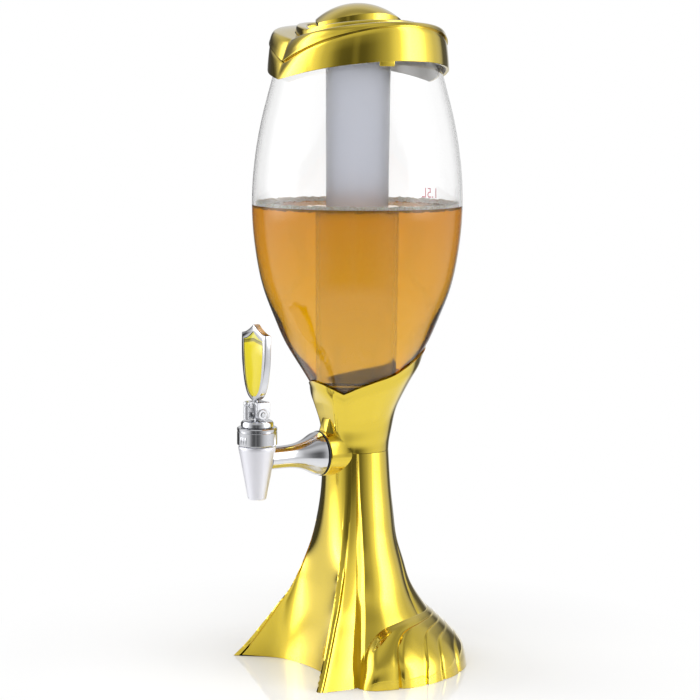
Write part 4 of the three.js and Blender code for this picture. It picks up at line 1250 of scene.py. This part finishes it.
# %% Finishes of the hidden pieces
CARRIED = {
    "bottom_plate": base_plastic, "bottom_screw_1": steel, "bottom_screw_2": steel, "bottom_screw_3": steel,
    "bottom_screw_4": steel, "tank_gasket": silicone, "tank_nut": nut_plastic, "tap_gasket": silicone,
    "stem_seal": rubber, "valve_stem": steel, "valve_cup": rubber, "lid_seal": silicone,
}
for name, material in CARRIED.items():
    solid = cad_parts[name]
    solid.data.materials.clear()
    solid.data.materials.append(material)
print("solids that stay", len(CARRIED))

# %% [markdown]
# ## Studio
#
# The tower stands on a white glossy table in front of a white wall. The table fades to plain white away from the
# tower, and far out it lets reflections pass to the room behind it.

# %% Table
bpy.ops.mesh.primitive_circle_add(vertices=96, radius=6, fill_type="NGON", location=(0, 0, -0.0002))
table = bpy.context.object
table.name = "table"
lacquer, tree, shader, place = new_finish("white_lacquered_board", "#F4F4F4", Roughness=0.04, IOR=1.5)
away = node(tree, "VectorMath", {"operation": "LENGTH"}, {"Vector": place}).outputs["Value"]
white = node(tree, "Emission", {"Color": (1, 1, 1, 1), "Strength": 1.0})
is_glossy = node(tree, "LightPath").outputs["Is Glossy Ray"]


def mixed(share, first, second):
    made = node(tree, "MixShader", {}, {"Fac": share})
    tree.links.new(first, made.inputs[1])
    tree.links.new(second, made.inputs[2])
    return made.outputs[0]


faded = mixed(ranged(tree, away, start=(0.13, 0.3)), shader.outputs[0], white.outputs[0])
mirrored = calc(tree, "MULTIPLY", ranged(tree, away, start=(0.4, 0.6)), is_glossy)
beyond = mixed(mirrored, faded, node(tree, "BsdfTransparent").outputs[0])
output = next(item for item in tree.nodes if item.type == "OUTPUT_MATERIAL")
tree.links.new(beyond, output.inputs["Surface"])
table.data.materials.append(lacquer)
print("table of", lacquer.name)

# %% [markdown]
# A plated surface only looks like metal when there is something dark to mirror, and hard boards would show as hard
# patches. So the room that reflections see is drawn as bands of grey around the tower: pale walls with a wide soft
# glow in each, dim zones behind the camera, at the far left and behind the tower, and a pale ceiling. The camera
# itself, and what it sees through the tank, get plain white.

# %% Room
CAMERA_LIGHT, OTHER_LIGHT = 1.0, 0.7
GLOW_STRENGTH = 4.4
ROOM = [
    (-180, 0.84), (-172, 0.72), (-166, 0.36), (-148, 0.36), (-138, 0.84), (-116, 0.84), (-108, 0.3), (-68, 0.26),
    (-60, 0.9), (-30, 0.95), (4, 0.9), (14, 0.8), (26, 0.52), (34, 0.38), (47, 0.34), (50, 0.48), (55, 0.48),
    (58, 0.34), (66, 0.38), (76, 0.5), (92, 0.74), (106, 0.88), (150, 0.94), (180, 0.84),
]
GLOW = [
    (-60, 0), (-49, 0.7), (-40, 1), (-20, 0.8), (-6, 0.35), (8, 0),
    (94, 0), (112, 0.35), (124, 1), (142, 0.8), (154, 0.35), (170, 0),
]
world = bpy.data.worlds.new("white_room")
world.use_nodes = True
bpy.context.scene.world = world
tree = world.node_tree
tree.nodes.clear()


def grey_ramp(source, stops):
    return ramp(tree, source, [(place, "#%02X%02X%02X" % ((round(255 * shade),) * 3)) for place, shade in stops])


def around_ramp(stops):
    return grey_ramp(azimuth, [((angle + 180) / 360, shade) for angle, shade in stops])


def less(light, share):
    return calc(tree, "MULTIPLY", light, calc(tree, "SUBTRACT", 1.0, share))


way = node(tree, "SeparateXYZ", {}, {"Vector": node(tree, "TexCoord").outputs["Generated"]})
azimuth = calc(tree, "ARCTAN2", way.outputs["X"], calc(tree, "MULTIPLY", way.outputs["Y"], -1.0))
azimuth = calc(tree, "MULTIPLY_ADD", azimuth, 1 / math.tau, 0.5)
above = calc(tree, "MULTIPLY_ADD", way.outputs["Z"], 0.5, 0.5)
ceiling = grey_ramp(above, [(0.6, 0.0), (0.8, 1.0)])
zenith = grey_ramp(above, [(0.86, 0.82), (0.92, 0.66), (0.95, 0.66), (0.985, 0.82)])
glow_end = grey_ramp(above, [(0.36, 0.14), (0.43, 0.16), (0.5, 1.0), (0.8, 1.0), (0.92, 0.0)])
ceiling_light = calc(tree, "MULTIPLY", ceiling, zenith)
glow_light = calc(tree, "MULTIPLY", calc(tree, "MULTIPLY", around_ramp(GLOW), glow_end), GLOW_STRENGTH)
reflected = calc(tree, "ADD", calc(tree, "ADD", less(around_ramp(ROOM), ceiling), ceiling_light), glow_light)

path = node(tree, "LightPath")
through = path.outputs["Is Transmission Ray"]
mirrored = less(path.outputs["Is Glossy Ray"], through)
seen = calc(tree, "MAXIMUM", path.outputs["Is Camera Ray"], through)
plain = less(ranged(tree, seen, (OTHER_LIGHT, CAMERA_LIGHT), clamp=False), mirrored)
level = calc(tree, "ADD", plain, calc(tree, "MULTIPLY", reflected, mirrored))
room = node(tree, "Background", {"Color": (1, 1, 1, 1)}, {"Strength": level})
node(tree, "OutputWorld", {}, {"Surface": room.outputs[0]})
print("room of", len(ROOM), "bands")

# %% [markdown]
# Three softboxes give the soft shadows on the table and on the matt pieces. They are hidden from reflections, because
# the glow on the walls stands for them there.

# %% Softboxes
LIT_PLACE = Vector((0, 0, 0.25))
for name, azimuth, distance, height, wide, tall, power in (
    ("softbox_left", -52, 1.25, 0.55, 0.8, 1.3, 9),
    ("softbox_right", 134, 1.25, 0.5, 0.95, 1.3, 9),
    ("softbox_top", 40, 0.45, 1.5, 1.0, 1.0, 8),
):
    turn = math.radians(azimuth)
    location = Vector((distance * math.sin(turn), -distance * math.cos(turn), height))
    facing = (LIT_PLACE - location).to_track_quat("-Z", "Y").to_euler()
    bpy.ops.object.light_add(type="AREA", location=location, rotation=facing)
    lamp = bpy.context.object
    lamp.name = name
    lamp.data.shape = "RECTANGLE"
    lamp.data.size, lamp.data.size_y, lamp.data.energy = wide, tall, power
    lamp.visible_glossy = False
    lamp.visible_transmission = False
print("studio set")
